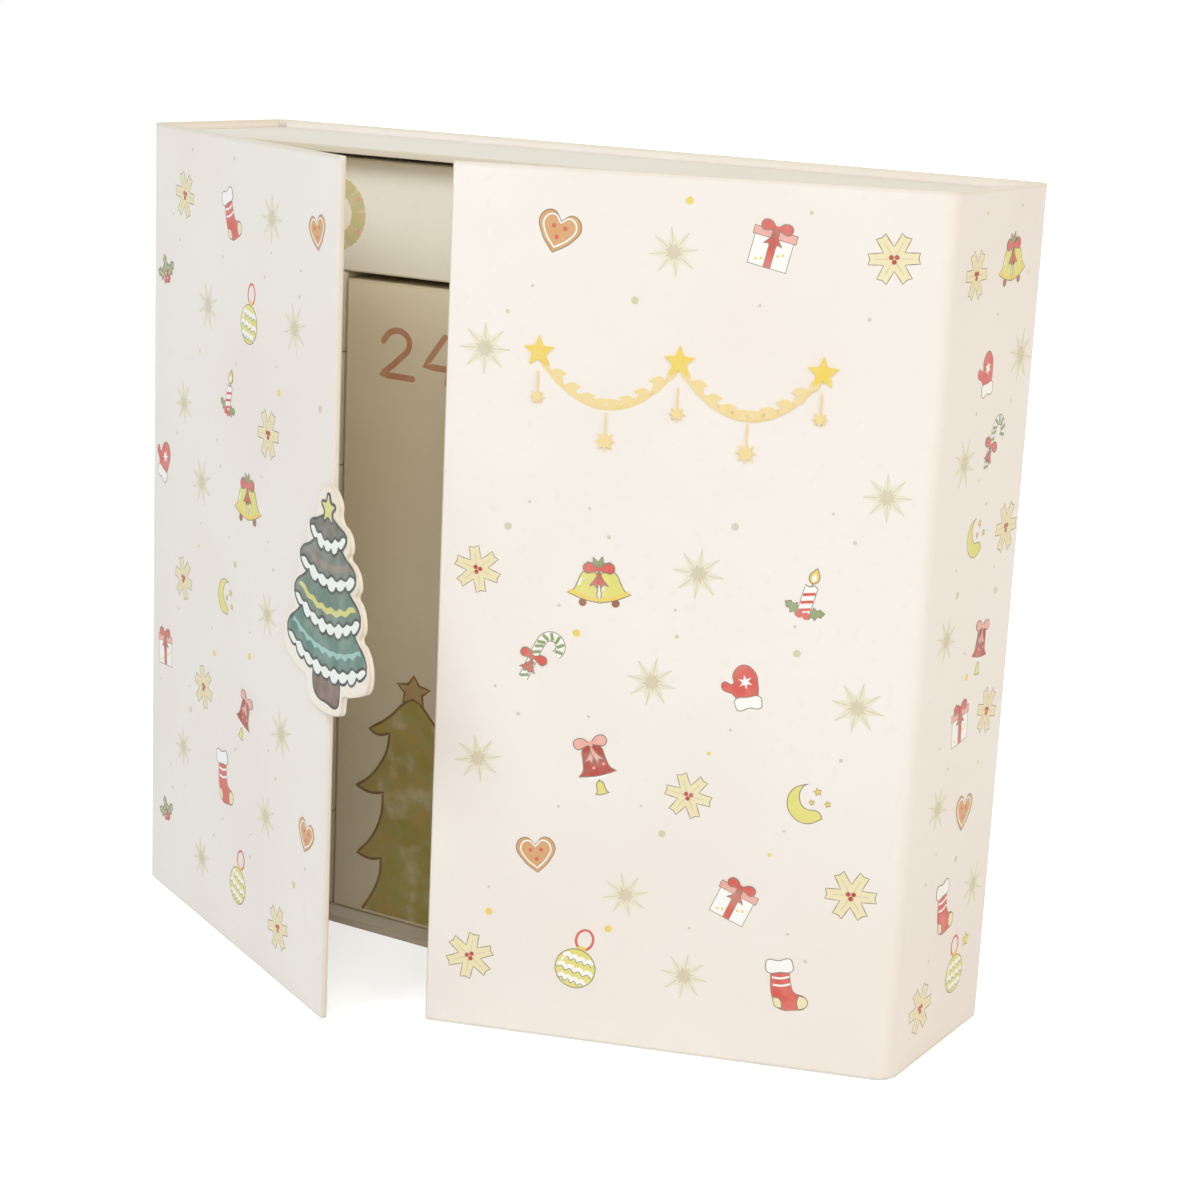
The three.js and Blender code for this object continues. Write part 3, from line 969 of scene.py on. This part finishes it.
def crescent(p):
    outer = [polar(7.0, angle) for angle in (75, 120, 165, 210, 255, 300)]
    inner = [(3.0 + x, 1.8 + y) for x, y in (polar(5.4, angle) for angle in (270, 215, 170, 125))]
    moon = [outer[0] + (CORNER,)] + outer[1:-1] + [outer[-1] + (CORNER,)] + inner
    shape(p, moon, YELLOW)
    for x, y, size in ((4.2, 3.4, 1.5), (1.4, 0.2, 1.1), (6.6, -1.4, 1.2)):
        shape(p, placed(star_outline(5, size, size * 0.5), x, y), GOLD, width=0.25)


# %% [markdown]
# A wrapping paper looks scattered, but its ornaments keep even distances. A staggered grid gives those
# distances, and a small shift and turn at each place, from a seeded random source, hides the grid. Bright
# and quiet ornaments take turns, and dots of three sizes fill the spaces between.

# %% Scattering ornaments
DOT_TONES = (GOLD, OLIVE, OLIVE, GREY, GREY)
DOT_CLEARANCE = 11.5
FACE_MARGIN = 8
STAGGER = 0.25
ORNAMENT_SHIFT = (0.09, 0.16)
ORNAMENT_TURN = 24
ORNAMENT_SIZES = (0.94, 1.08)
DOT_SHIFT = (0.14, 0.12)
SPECK_SHIFT = 9
BRIGHT = (holly, glass_ball, stocking, biscuit_heart, parcel, felt_bell, crescent, tied_cane, mitten,
          brass_bells, candle, candy_cane)
QUIET = (folded_star, frost_flake, folded_star, folded_star, frost_flake)


def scatter(ink_print, left, right, columns, rows, seed, first=0, clear=None):
    """Ornaments over a face between two edges, from the floor up. clear is a box left free of them."""
    chance = random.Random(seed)
    centres = []
    pitch = (right - left) / columns
    rise = (HEIGHT - 2 * FACE_MARGIN) / rows

    def near(column, row, shift):
        """A place near a point of the grid."""
        x = left + column * pitch + chance.uniform(-shift[0], shift[0]) * pitch
        z = FACE_MARGIN + row * rise + chance.uniform(-shift[1], shift[1]) * rise
        return x, z

    def in_clear(x, z):
        return clear and clear[0] < x < clear[1] and clear[2] < z < clear[3]

    def is_free(x, z):
        on_paper = left + 3 < x < right - 3 and z < HEIGHT - 6
        apart = all((Vector((x, z)) - centre).length > DOT_CLEARANCE for centre in centres)
        return on_paper and not in_clear(x, z) and apart

    for row in range(rows):
        for column in range(columns):
            shifted = STAGGER if row % 2 else -STAGGER
            x, z = near(column + 0.5 + shifted, row + 0.5, ORNAMENT_SHIFT)
            turn, size = chance.uniform(-ORNAMENT_TURN, ORNAMENT_TURN), chance.uniform(*ORNAMENT_SIZES)
            place = row * columns + column
            drawn = BRIGHT if (row + column) % 2 == first % 2 else QUIET
            ornament = drawn[(place // 2 + first) % len(drawn)]
            if not in_clear(x, z):
                ink_print.move(x, z, turn, size)
                ornament(ink_print)
                centres.append(Vector((x, z)))

    for row in range(rows):
        for column in range(columns + 1):
            shifted = 0.0 if row % 2 else 0.5
            x, z = near(column + shifted, row + 0.95, DOT_SHIFT)
            tone, fine = chance.choice(DOT_TONES), chance.random()
            beside = x + SPECK_SHIFT * chance.uniform(-1, 1)
            if is_free(x, z):
                ink_print.move(x, z)
                if fine < 0.12:
                    small_star(ink_print)
                else:
                    ink_print.dot(0, 0, 1.3 if fine < 0.4 else 0.7, tone)
            if is_free(beside, z + SPECK_SHIFT):
                ink_print.move(beside, z + SPECK_SHIFT)
                ink_print.dot(0, 0, 0.55, GREY, steps=10)


# %% [markdown]
# Each printed face has its own print, which rides on the same body as the face. The print is drawn from
# the case's corner along the door, so the numbers below are distances that could be measured on the real
# box with a ruler. On the right door a gold garland hangs in the upper half, where the ornaments leave
# room for it.

# %% The prints on the cover
def corner_on_door(side):
    opening = LEFT_OPEN if side < 0 else RIGHT_OPEN
    corner = left_door_frame(opening) @ Vector((-PIVOT_INSET, -PIVOT_INSET, 0))
    along = Vector((math.cos(degrees(opening)), -math.sin(degrees(opening)), 0))
    if side > 0:
        corner.x, along.y = -corner.x, -along.y
    return corner, along


def garland(p):
    """Two gold swags between three knots, with leaves and small stars."""
    half, sag = 47, 15
    for centre in (-half / 2, half / 2):
        swag = [(centre + half / 2 * t, -sag * (1 - t * t)) for t in (-1, -0.66, -0.33, 0, 0.33, 0.66, 1)]
        p.line(swag, 1.5, STRAW)
        for k in range(9):
            t = -0.84 + 0.21 * k
            x, y = centre + half / 2 * t, -sag * (1 - t * t)
            for side in (-1, 1):
                leaf = [(0, 0, CORNER), (1.5, 2.6), (0, 6.2, CORNER), (-1.5, 2.6)]
                p.fill(placed(leaf, x, y, 38 * t + side * 62), STRAW)
    for x, y in ((-half, 2.0), (0, 2.0), (half, 2.0)):
        p.fill(placed(star_outline(5, 5.4, 2.5), x, y), GOLD)
    hung = ((-half / 2, -26, 3.6), (half / 2, -26, 3.6), (0, -15, 2.8), (-half, -13, 2.6), (half, -13, 2.6))
    for x, y, size in hung:
        p.line([(x, y + size), (x, y + size + 6)], 0.5, STRAW)
        p.fill(placed(star_outline(8, size, size * 0.5), x, y), STRAW)


right_corner, right_along = corner_on_door(1)
print_right = Print(right_corner, right_along, (0, 0, 1))
scatter(print_right, -158, -8, 4, 8, seed=11, first=1, clear=(-140, -30, 196, 252))
print_right.move(-86, 238)
garland(print_right)
print_right.finish("right_door_print", "right_leaf")

left_corner, left_along = corner_on_door(-1)
print_left = Print(left_corner, left_along, (0, 0, 1))
scatter(print_left, 8, 158, 4, 8, seed=23, first=0, clear=(126, 170, 102, 204))
print_left.finish("left_door_print", "left_leaf")

for side, seed in ((-1, 31), (1, 37)):
    face = Print((side * HALF_WIDTH, 0, 0), (0, side, 0), (0, 0, 1))
    scatter(face, -24, 30, 2, 9, seed=seed, first=side)
    face.finish(("left" if side < 0 else "right") + "_side_print", "case")

back_face = Print((0, BACK, 0), (-1, 0, 0), (0, 0, 1))
scatter(back_face, -152, 152, 8, 8, seed=41)
back_face.finish("back_print", "case")

# %% [markdown]
# A day's number is brushed, as with a round brush: each figure is one or two strokes through a few
# points. A font would be quicker, but its even strokes look typed, and these figures should look like the
# rest of the drawing.

# %% Brushed figures
FIGURE_HEIGHT = 14
FIGURE_WIDTH = 10
RUST = srgb(206, 144, 107)
STROKES = {
    "0": [[(5.2, 13.8), (1.8, 11.0), (1.2, 4.2), (4.8, 0.2), (8.6, 3.4), (8.8, 10.4), (5.2, 13.8)]],
    "1": [[(2.8, 10.8), (5.6, 13.8, CORNER), (5.2, 0.2)]],
    "2": [[(1.4, 10.6), (3.2, 13.4), (6.6, 13.4), (8.0, 10.2), (5.4, 5.6), (1.0, 0.6, CORNER), (9.0, 0.4)]],
    "3": [[(1.6, 12.4), (5.2, 13.8), (7.8, 10.8), (4.2, 7.6, CORNER), (8.4, 4.2), (5.4, 0.2), (1.0, 1.6)]],
    "4": [[(5.8, 13.8), (1.0, 4.8, CORNER), (9.4, 4.4)], [(7.2, 8.4), (6.8, 0.2)]],
    "5": [[(8.2, 13.6), (2.6, 13.4, CORNER), (2.0, 8.2, CORNER), (6.2, 8.4), (8.4, 4.6), (5.4, 0.4),
           (1.0, 1.6)]],
    "6": [[(7.4, 13.6), (3.0, 9.8), (1.4, 4.4), (4.8, 0.2), (8.4, 3.2), (6.4, 7.2), (2.0, 5.4)]],
    "7": [[(1.0, 13.2), (8.8, 13.4, CORNER), (4.4, 0.2)]],
    "8": [[(5.0, 7.4), (1.8, 10.8), (5.0, 13.8), (8.0, 10.8), (5.0, 7.4), (1.2, 3.6), (5.0, 0.2), (8.8, 3.6),
           (5.0, 7.4)]],
    "9": [[(8.0, 10.6), (5.2, 13.8), (1.8, 10.8), (4.6, 7.2), (8.2, 10.2), (7.4, 4.8), (5.2, 0.2)]],
}
ROUNDNESS = 1.42
FIGURE_GAP = 1.4
STROKE_WIDTH = 1.9


def write_number(ink_print, number, x, y, height):
    """A number whose lower left corner is at x, y."""
    size = height / FIGURE_HEIGHT
    for k, figure in enumerate(str(number)):
        ink_print.move(x + k * (FIGURE_WIDTH * ROUNDNESS + FIGURE_GAP) * size, y, size=size)
        for stroke in STROKES[figure]:
            points = [(point[0] * ROUNDNESS,) + point[1:] for point in stroke]
            closed = points[0] == points[-1]
            ink_print.brush(points[1:] if closed else points, STROKE_WIDTH, RUST, closed)


# %% [markdown]
# Some cartons carry more than a number. The tall one has a fir tree in broad washes of green, and one of
# the long ones a wreath. The wash is a film of its own: its colour is a green that three other tones run
# into, each by a noise of its own scale, as wet paint does. The outline and the star are ordinary ink on
# top of it.

# %% A fir tree and a wreath
BARK = srgb(148, 112, 60)
GILT = srgb(214, 196, 142)
GILT_PALE = srgb(222, 208, 160)
GILT_GREEN = srgb(204, 196, 140)
PEACH = srgb(240, 190, 160)
FIR_STAR = srgb(204, 172, 118)
FIR_MIDDLE = 35.4
FIR_TOP = (0, 91, CORNER)
FIR_SIDE = [(4.2, 87.7), (11.2, 80.8), (20.1, 74.8, CORNER), (16.5, 73.2), (10.6, 74.5, CORNER),
            (11.3, 68.6), (14.4, 61.9), (20.2, 54.8), (25.6, 51.0, CORNER), (19.4, 49.4),
            (12.9, 50.4, CORNER), (13.4, 41.6), (17.6, 31.6), (24.4, 23.8, CORNER), (18.6, 22.6),
            (13.0, 23.8, CORNER), (13.4, 17.0), (16.8, 8.6), (21.4, 1.4, CORNER)]
FIR_LINE_WIDTH = 1.05
FIR_STAR_LEVEL = 93.0
FIR_STAR_SQUEEZE = 0.76

WASH_GREEN = srgb(184, 172, 92)
WASH_RUNS = (
    (70, 2, (0.36, 0.62), srgb(206, 180, 112)),
    (95, 4, (0.50, 0.66), srgb(222, 210, 164)),
    (260, 3, (0.40, 0.75), srgb(190, 182, 118)),
)

washed, tree, surface = new_material("green_wash", Roughness=0.5, Specular_IOR_Level=PAPER_SHINE)
wet = WASH_GREEN
for scale, detail, levels, colour in WASH_RUNS:
    wet = mixed(tree, noise(tree, scale, detail, levels), wet, colour)
tree.links.new(wet, surface.inputs["Base Color"])
grain(tree, surface, INK_FIBRE)


def fir_outline():
    return mirrored(FIR_SIDE) + [FIR_TOP] + FIR_SIDE


def painted_fir(p):
    """The outline and the star of a fir tree that runs off the lower edge, with its middle at x = 0."""
    p.layer = 1
    p.line(fir_outline(), FIR_LINE_WIDTH, BARK)
    tip = cornered([(x, FIR_STAR_SQUEEZE * y + FIR_STAR_LEVEL) for x, y, _ in star_outline(5, 8.0, 4.2)])
    p.fill(tip, FIR_STAR)
    p.line(tip, FIR_LINE_WIDTH, BARK, closed=True)


def wreath(p):
    for k in range(30):
        angle = 12 * k
        for lean in (-38, 38):
            leaf = [(0, -0.6, CORNER), (2.0, 1.6), (0, 5.0, CORNER), (-2.0, 1.6)]
            x, y = polar(10.2, angle)
            p.layer = 2 * (k % 3) + (lean > 0)
            p.fill(placed(leaf, x, y, angle + lean), (GILT_PALE, GILT_GREEN, GILT)[k % 3])
    for k in range(6):
        x, y = polar(11.8, 30 + 60 * k)
        p.dot(x, y, 0.9, ROSE, steps=10)
    bow(p, -5.0, 10.4, 1.0, PEACH)


# %% [markdown]
# A carton is folded from one card blank, so its edges are rounded folds, and the lid's tuck flap leaves a
# fine slit at the front and sides. The slit is a ring set into the top face and pushed down, then set in
# again and pulled back up. Card and ink ride on the same body, because the carton slides out as a whole.

# %% Cartons
FOLD = 0.55
FOLD_TONE = 0.8
SLIT = (0.5, 0.14, 0.35)
NUMBER_HEIGHT = 15
WALL_AREA = 100
LONG_DAY = 10
TALL_DAY = 24


def carton_body(low, high):
    bm = bmesh.new()
    bmesh.ops.create_cube(bm, size=1)
    bmesh.ops.scale(bm, vec=high - low, verts=bm.verts)
    bmesh.ops.translate(bm, vec=(low + high) / 2, verts=bm.verts)
    round_off(bm, bm.edges[:], FOLD)
    tone = bm.verts.layers.float.new("edge")
    for vert in bm.verts:
        vert[tone] = FOLD_TONE
    walls = [face for face in bm.faces if face.calc_area() > WALL_AREA]
    margin, width, depth = SLIT
    for wall in walls:
        bmesh.ops.inset_individual(bm, faces=[wall], thickness=margin)
        for vert in wall.verts:
            vert[tone] = 0.0
        if wall.normal.z > 0.9:
            bmesh.ops.inset_individual(bm, faces=[wall], thickness=width, depth=-depth)
            bmesh.ops.inset_individual(bm, faces=[wall], thickness=width, depth=depth)
    return bm


def draw_day(face, day, low, high):
    """The number and the ornament on a carton's front, in millimetres from its lower left corner."""
    width, height = high.x - low.x, high.z - low.z
    if day == TALL_DAY:
        write_number(face, day, x=14.6, y=height - 34.6, height=17.6)
        face.move(FIR_MIDDLE, 0)
        painted_fir(face)
        return
    if day == LONG_DAY:
        face.move(width / 2 - 8, height / 2)
        wreath(face)
        write_number(face, day, x=width / 2 - 66, y=height / 2 - 8, height=16)
        return
    tall = min(NUMBER_HEIGHT, 0.42 * height)
    if width > 1.4 * height:
        write_number(face, day, 0.14 * width, height / 2 - tall / 2, tall)
        face.move(0.72 * width, height / 2 - 1, -8, min(1.0, height / 34))
    else:
        write_number(face, day, 7, height - tall - 6, tall)
        face.move(width - 16, 15, -8, 1.0)
    (BRIGHT + (frost_flake, folded_star))[(day * 5) % (len(BRIGHT) + 2)](face)


for day in range(1, 25):
    node = f"carton_{day:02d}"
    low, high = (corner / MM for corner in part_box(node))
    bm = carton_body(low, high)
    face = Print((low.x, low.y, low.z), (1, 0, 0), (0, 0, 1))
    draw_day(face, day, low, high)
    body = f"day_{day:02d}"
    face.finish(f"{node}_print", body)
    if day == TALL_DAY:
        wash = Print((low.x, low.y, low.z), (1, 0, 0), (0, 0, 1))
        wash.move(FIR_MIDDLE, 0)
        wash.fill(fir_outline(), BARK)
        wash.finish(f"{node}_wash", body, film=washed)
    # The tall carton gets the yellower card, whose colour is painted warm bounce light.
    box = finished(f"{node}_folded", bm, [bounce_tinted_card if day == TALL_DAY else carton_card])
    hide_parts(node)
    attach(box, body)

# %% [markdown]
# The left door is pulled open by a tab: a tree cut from thick card, with a printed card glued on its face
# and a small magnet between the two. Both cards have one outline, drawn as a flat curve through its
# points and its mirror image. In the board's outline a circle is drawn too. It fills as a face of its
# own, so that after the extrusion it can be pushed in: that is the magnet's pocket. The face leaves a
# copy of itself behind as a lid, which is deleted.

# %% The tree-shaped tab
TAB_MIDDLE = 166.3
TAB_BOARD = (0.3, 1.8)
TAB_FACE = (1.88, 2.575)
MAGNET_PLACE = Vector((180 - TAB_MIDDLE, 140))
MAGNET_POCKET = (5.3, 0.875)
TAB_TIP = (0, 191.9)
TAB_SIDE = [(4.6, 190.2), (8.0, 186.6), (8.2, 182.4), (9.6, 180.6), (13.4, 179.0), (16.4, 176.0),
            (16.6, 172.4), (15.4, 170.2), (19.4, 168.2), (22.9, 164.8), (23.4, 160.8), (21.8, 158.2),
            (24.6, 156.2), (27.2, 152.2), (27.4, 147.8), (25.6, 144.6), (29.0, 142.6), (32.4, 138.8),
            (33.6, 133.4), (31.8, 128.6), (26.9, 126.0), (20.0, 123.6), (14.4, 122.2), (13.4, 119.4),
            (12.6, 115.8), (9.4, 114.4)]
TAB_CURVE_STEPS = 8
CARD_ROUND = 0.16
CARD_BAND = 0.6
CARD_TONE = 0.6


def tab_plate(low, high, pocket=None):
    """The tree as a plate between two distances out from the door, and with a round pocket if asked."""
    curve = curve_through([TAB_TIP] + TAB_SIDE + mirrored(TAB_SIDE), closed=True)
    curve.resolution_u = TAB_CURVE_STEPS
    if pocket:
        radius, depth = pocket
        add_spline(curve, circle_outline(radius, *MAGNET_PLACE), closed=True)
    curve.dimensions = "2D"
    curve.fill_mode = "BOTH"
    mesh = curve_mesh(curve)
    bm = bmesh.new()
    bm.from_mesh(mesh)
    bpy.data.meshes.remove(mesh)
    bmesh.ops.remove_doubles(bm, verts=bm.verts, dist=0.001)
    if pocket:
        hole = [edge for edge in bm.edges if edge.is_boundary
                and all((vert.co.xy - MAGNET_PLACE).length < radius + 0.2 for vert in edge.verts)]
        bmesh.ops.contextual_create(bm, geom=hole)
    else:
        bmesh.ops.dissolve_limit(bm, angle_limit=degrees(1), verts=bm.verts, edges=bm.edges)
    bmesh.ops.translate(bm, vec=(0, 0, low), verts=bm.verts)
    extruded(bm, bm.faces[:], (0, 0, high - low))
    bmesh.ops.recalc_face_normals(bm, faces=bm.faces)
    rims = [edge for edge in bm.edges if abs(edge.calc_face_angle(0) - math.pi / 2) < 0.1]
    round_off(bm, rims, CARD_ROUND, segments=2)
    tone = bm.verts.layers.float.new("edge")
    for vert in bm.verts:
        vert[tone] = CARD_TONE
    if pocket:
        disc = max((face for face in bm.faces if face.normal.z > 0.9), key=lambda face: len(face.verts))
        extruded(bm, [disc], (0, 0, -depth))
        bmesh.ops.delete(bm, geom=[disc], context="FACES_ONLY")
    else:
        face = max(bm.faces, key=lambda item: item.calc_center_median().z)
        bmesh.ops.inset_individual(bm, faces=[face], thickness=CARD_BAND)
        for vert in face.verts:
            vert[tone] = 0.0
    return bm


on_door = Print(left_corner, left_along, (0, 0, 1)).face @ Matrix.Translation((TAB_MIDDLE, 0, 0))
for node, (low, high), slot, pocket in (("tree_tab_board", TAB_BOARD, "tab_card", MAGNET_POCKET),
                                       ("tree_tab_face", TAB_FACE, "tab_print", None)):
    bm = tab_plate(low, high, pocket)
    bmesh.ops.transform(bm, matrix=on_door, verts=bm.verts)
    card = finished(node + "_cut", bm, [tab_card])
    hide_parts(node)
    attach(card, "left_leaf")
    print(node, "points", len(card.data.vertices))

# %% [markdown]
# The tree's picture is painted from the lowest tier up, so that each tier covers the top of the one
# below. A tier's lower edge is one formula, and the snow and the garland are that same edge raised by
# different heights, which keeps them parallel. The snow hangs in lumps: a corner at each notch and two
# smooth points on each lump.

# %% The picture on the tab
TAB_LINE = srgb(50, 56, 50)
TAB_LINE_WIDTH = 1.0
PICTURE_MIDDLE = TAB_MIDDLE + 1.0
SNOW = srgb(244, 246, 238)
GARLAND_MARGIN = 0.7
TIER_BEND = 2.2
SHOULDER_SHARE = 0.17
WAIST_SHARE = 0.53
Tier = namedtuple("Tier", "foot corner top half top_half lumps colour")
TIERS = [
    Tier(foot=125.2, corner=133.6, top=151, half=30.9, top_half=15, lumps=9, colour=srgb(89, 125, 113)),
    Tier(foot=140.8, corner=148.6, top=164, half=25.6, top_half=10, lumps=8, colour=srgb(97, 121, 106)),
    Tier(foot=156.4, corner=162.0, top=174.4, half=21.4, top_half=6, lumps=6, colour=srgb(108, 115, 104)),
    Tier(foot=169.0, corner=174.4, top=182, half=14.0, top_half=1.8, lumps=5, colour=srgb(104, 102, 91)),
]
Garland = namedtuple("Garland", "rise width teeth upper_wave lower_wave colour")
GARLANDS = [
    Garland(rise=9.0, width=1.8, teeth=9, upper_wave=0.1, lower_wave=0.7, colour=srgb(152, 196, 184)),
    Garland(rise=7.6, width=2.2, teeth=6, upper_wave=0.5, lower_wave=0.5, colour=srgb(214, 208, 120)),
    Garland(rise=6.8, width=2.4, teeth=5, upper_wave=0.0, lower_wave=0.1, colour=srgb(136, 120, 110)),
    None,
]


def tier_edge(tier, t, rise=0.0, narrow=0.0):
    """A point on a tier's lower edge, where t runs from -1 to 1, raised by some millimetres."""
    x = (tier.half - narrow) * t
    return (x, tier.foot + (tier.corner - tier.foot) * abs(t) ** TIER_BEND + rise)


def snow_outline(tier):
    count = tier.lumps
    lump = 2 / count
    lower, upper = [], []
    for k in range(count):
        t = -1 + k * lump
        sag = 0.0 if k % 2 else 0.5
        lower.append(tier_edge(tier, t, 1.7) + (CORNER,))
        lower.append(tier_edge(tier, t + 0.22 * lump, sag))
        lower.append(tier_edge(tier, t + 0.76 * lump, sag))
        for share, rise in ((0.05, 4.2), (0.5, 5.6 - sag)):
            place = t + share * lump
            upper.append(tier_edge(tier, place, rise - 2.2 * abs(place) ** 6, 0.5))
    lower.append(tier_edge(tier, 1, 1.2) + (CORNER,))
    upper.append(tier_edge(tier, 1, 2.4, 0.3))
    return lower + list(reversed(upper))


def tier_side(tier):
    """A tier's right side from its corner up: a round shoulder, a slight waist and the top."""
    low = tier.corner + 2
    shoulder = low + SHOULDER_SHARE * (tier.top - low)
    waist = tier.half * (1 - WAIST_SHARE) + tier.top_half * WAIST_SHARE
    return [(tier.half, low), (tier.half - 0.2, shoulder), (waist, (shoulder + tier.top) / 2),
            (tier.top_half, tier.top)]


def half_width(tier, y):
    """Half a tier's width at a height, along straight lines between the points of its side."""
    side = tier_side(tier)
    for low, high in zip(side, side[1:]):
        if y <= high[1]:
            return low[0] + (high[0] - low[0]) * (y - low[1]) / (high[1] - low[1])
    return 0.0


def reach(tier, rise):
    """How far along a tier a raised line goes before it comes to the tier's side, as a share of its half."""
    t = 1.0
    while tier_edge(tier, t, rise)[0] > half_width(tier, tier_edge(tier, t, rise)[1]) - GARLAND_MARGIN:
        t -= 0.01
    return t


def ribbon(tier, band):
    """A garland's outline: a band along the tier whose two edges each have a wave of their own height."""
    low, high = band.rise, band.rise + band.width
    upper, lower = [], []
    for k in range(2 * band.teeth + 1):
        share = k / band.teeth - 1
        side = 1 if k % 2 else -1
        upper.append(tier_edge(tier, share * reach(tier, high), high + side * band.upper_wave))
        lower.append(tier_edge(tier, share * reach(tier, low), low + side * band.lower_wave) + (CORNER,))
    upper[0], upper[-1] = upper[0] + (CORNER,), upper[-1] + (CORNER,)
    return upper + list(reversed(lower))


def painted_tier(p, tier, band):
    """A tier in the order of painting: body, garland, outline and snow. The top one has no garland."""
    shares = [k / 5 for k in range(-5, 6)]
    foot = [tier_edge(tier, t, 2.0) for t in shares]
    foot[0], foot[-1] = foot[0] + (CORNER,), foot[-1] + (CORNER,)
    side = tier_side(tier)[1:]
    side[-1] += (CORNER,)
    body = foot + side + mirrored(side)
    p.fill(body, tier.colour)
    if band:
        p.fill(ribbon(tier, band), band.colour)
    p.line(body, TAB_LINE_WIDTH, TAB_LINE, closed=True)
    snow = snow_outline(tier)
    p.fill(snow, SNOW)
    p.line(snow, TAB_LINE_WIDTH, TAB_LINE, closed=True)


tab_print = Print(left_corner + left_along.cross(Vector((0, 0, 1))) * TAB_FACE[1], left_along, (0, 0, 1))
tab_print.move(PICTURE_MIDDLE, 0)
trunk = [(-9.4, 129, CORNER), (10.8, 129, CORNER), (11.0, 122), (9.6, 118.0), (1, 117.5), (-7.4, 118.6),
         (-9.5, 121.6)]
tab_print.fill(trunk, srgb(122, 98, 86))
tab_print.line(trunk, TAB_LINE_WIDTH, TAB_LINE, closed=True)
for tier, band in zip(TIERS, GARLANDS):
    painted_tier(tab_print, tier, band)
top_star = [point[:2] for point in placed(star_outline(5, 5.3, 3.1), 0, 184)]
tab_print.fill(top_star, srgb(222, 216, 134))
tab_print.line(top_star, TAB_LINE_WIDTH, TAB_LINE, closed=True)
tab_print.finish("tab_picture", "left_leaf")

# %% [markdown]
# The magnet and the steel disc that it holds on to are nickel-plated. Both are hidden, one in the tab and
# the other in the right door. They keep their solids, and only get their metal: a polished film with a
# faint haze, which a noise in the roughness gives.

# %% Nickel
STAIN_SCALE = 300
HAZE_SCALE = 500
HAZE_ROUGHNESS = (0.22, 0.34)

nickel, tree, surface = new_material("nickel_plate", Metallic=1.0)
stain = noise(tree, STAIN_SCALE, 3, TONE_LEVELS)
tree.links.new(mixed(tree, stain, srgb(200, 198, 192), srgb(186, 183, 176)), surface.inputs["Base Color"])
haze = new_node(tree, "ShaderNodeMapRange", To_Min=HAZE_ROUGHNESS[0], To_Max=HAZE_ROUGHNESS[1])
tree.links.new(noise(tree, HAZE_SCALE, 4, EVEN_LEVELS), haze.inputs["Value"])
tree.links.new(haze.outputs["Result"], surface.inputs["Roughness"])
for node in ("tab_magnet", "steel_keeper"):
    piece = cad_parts[node]
    piece.data.materials.clear()
    piece.data.materials.append(nickel)
print("nickel:", [slot.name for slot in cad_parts["tab_magnet"].material_slots])
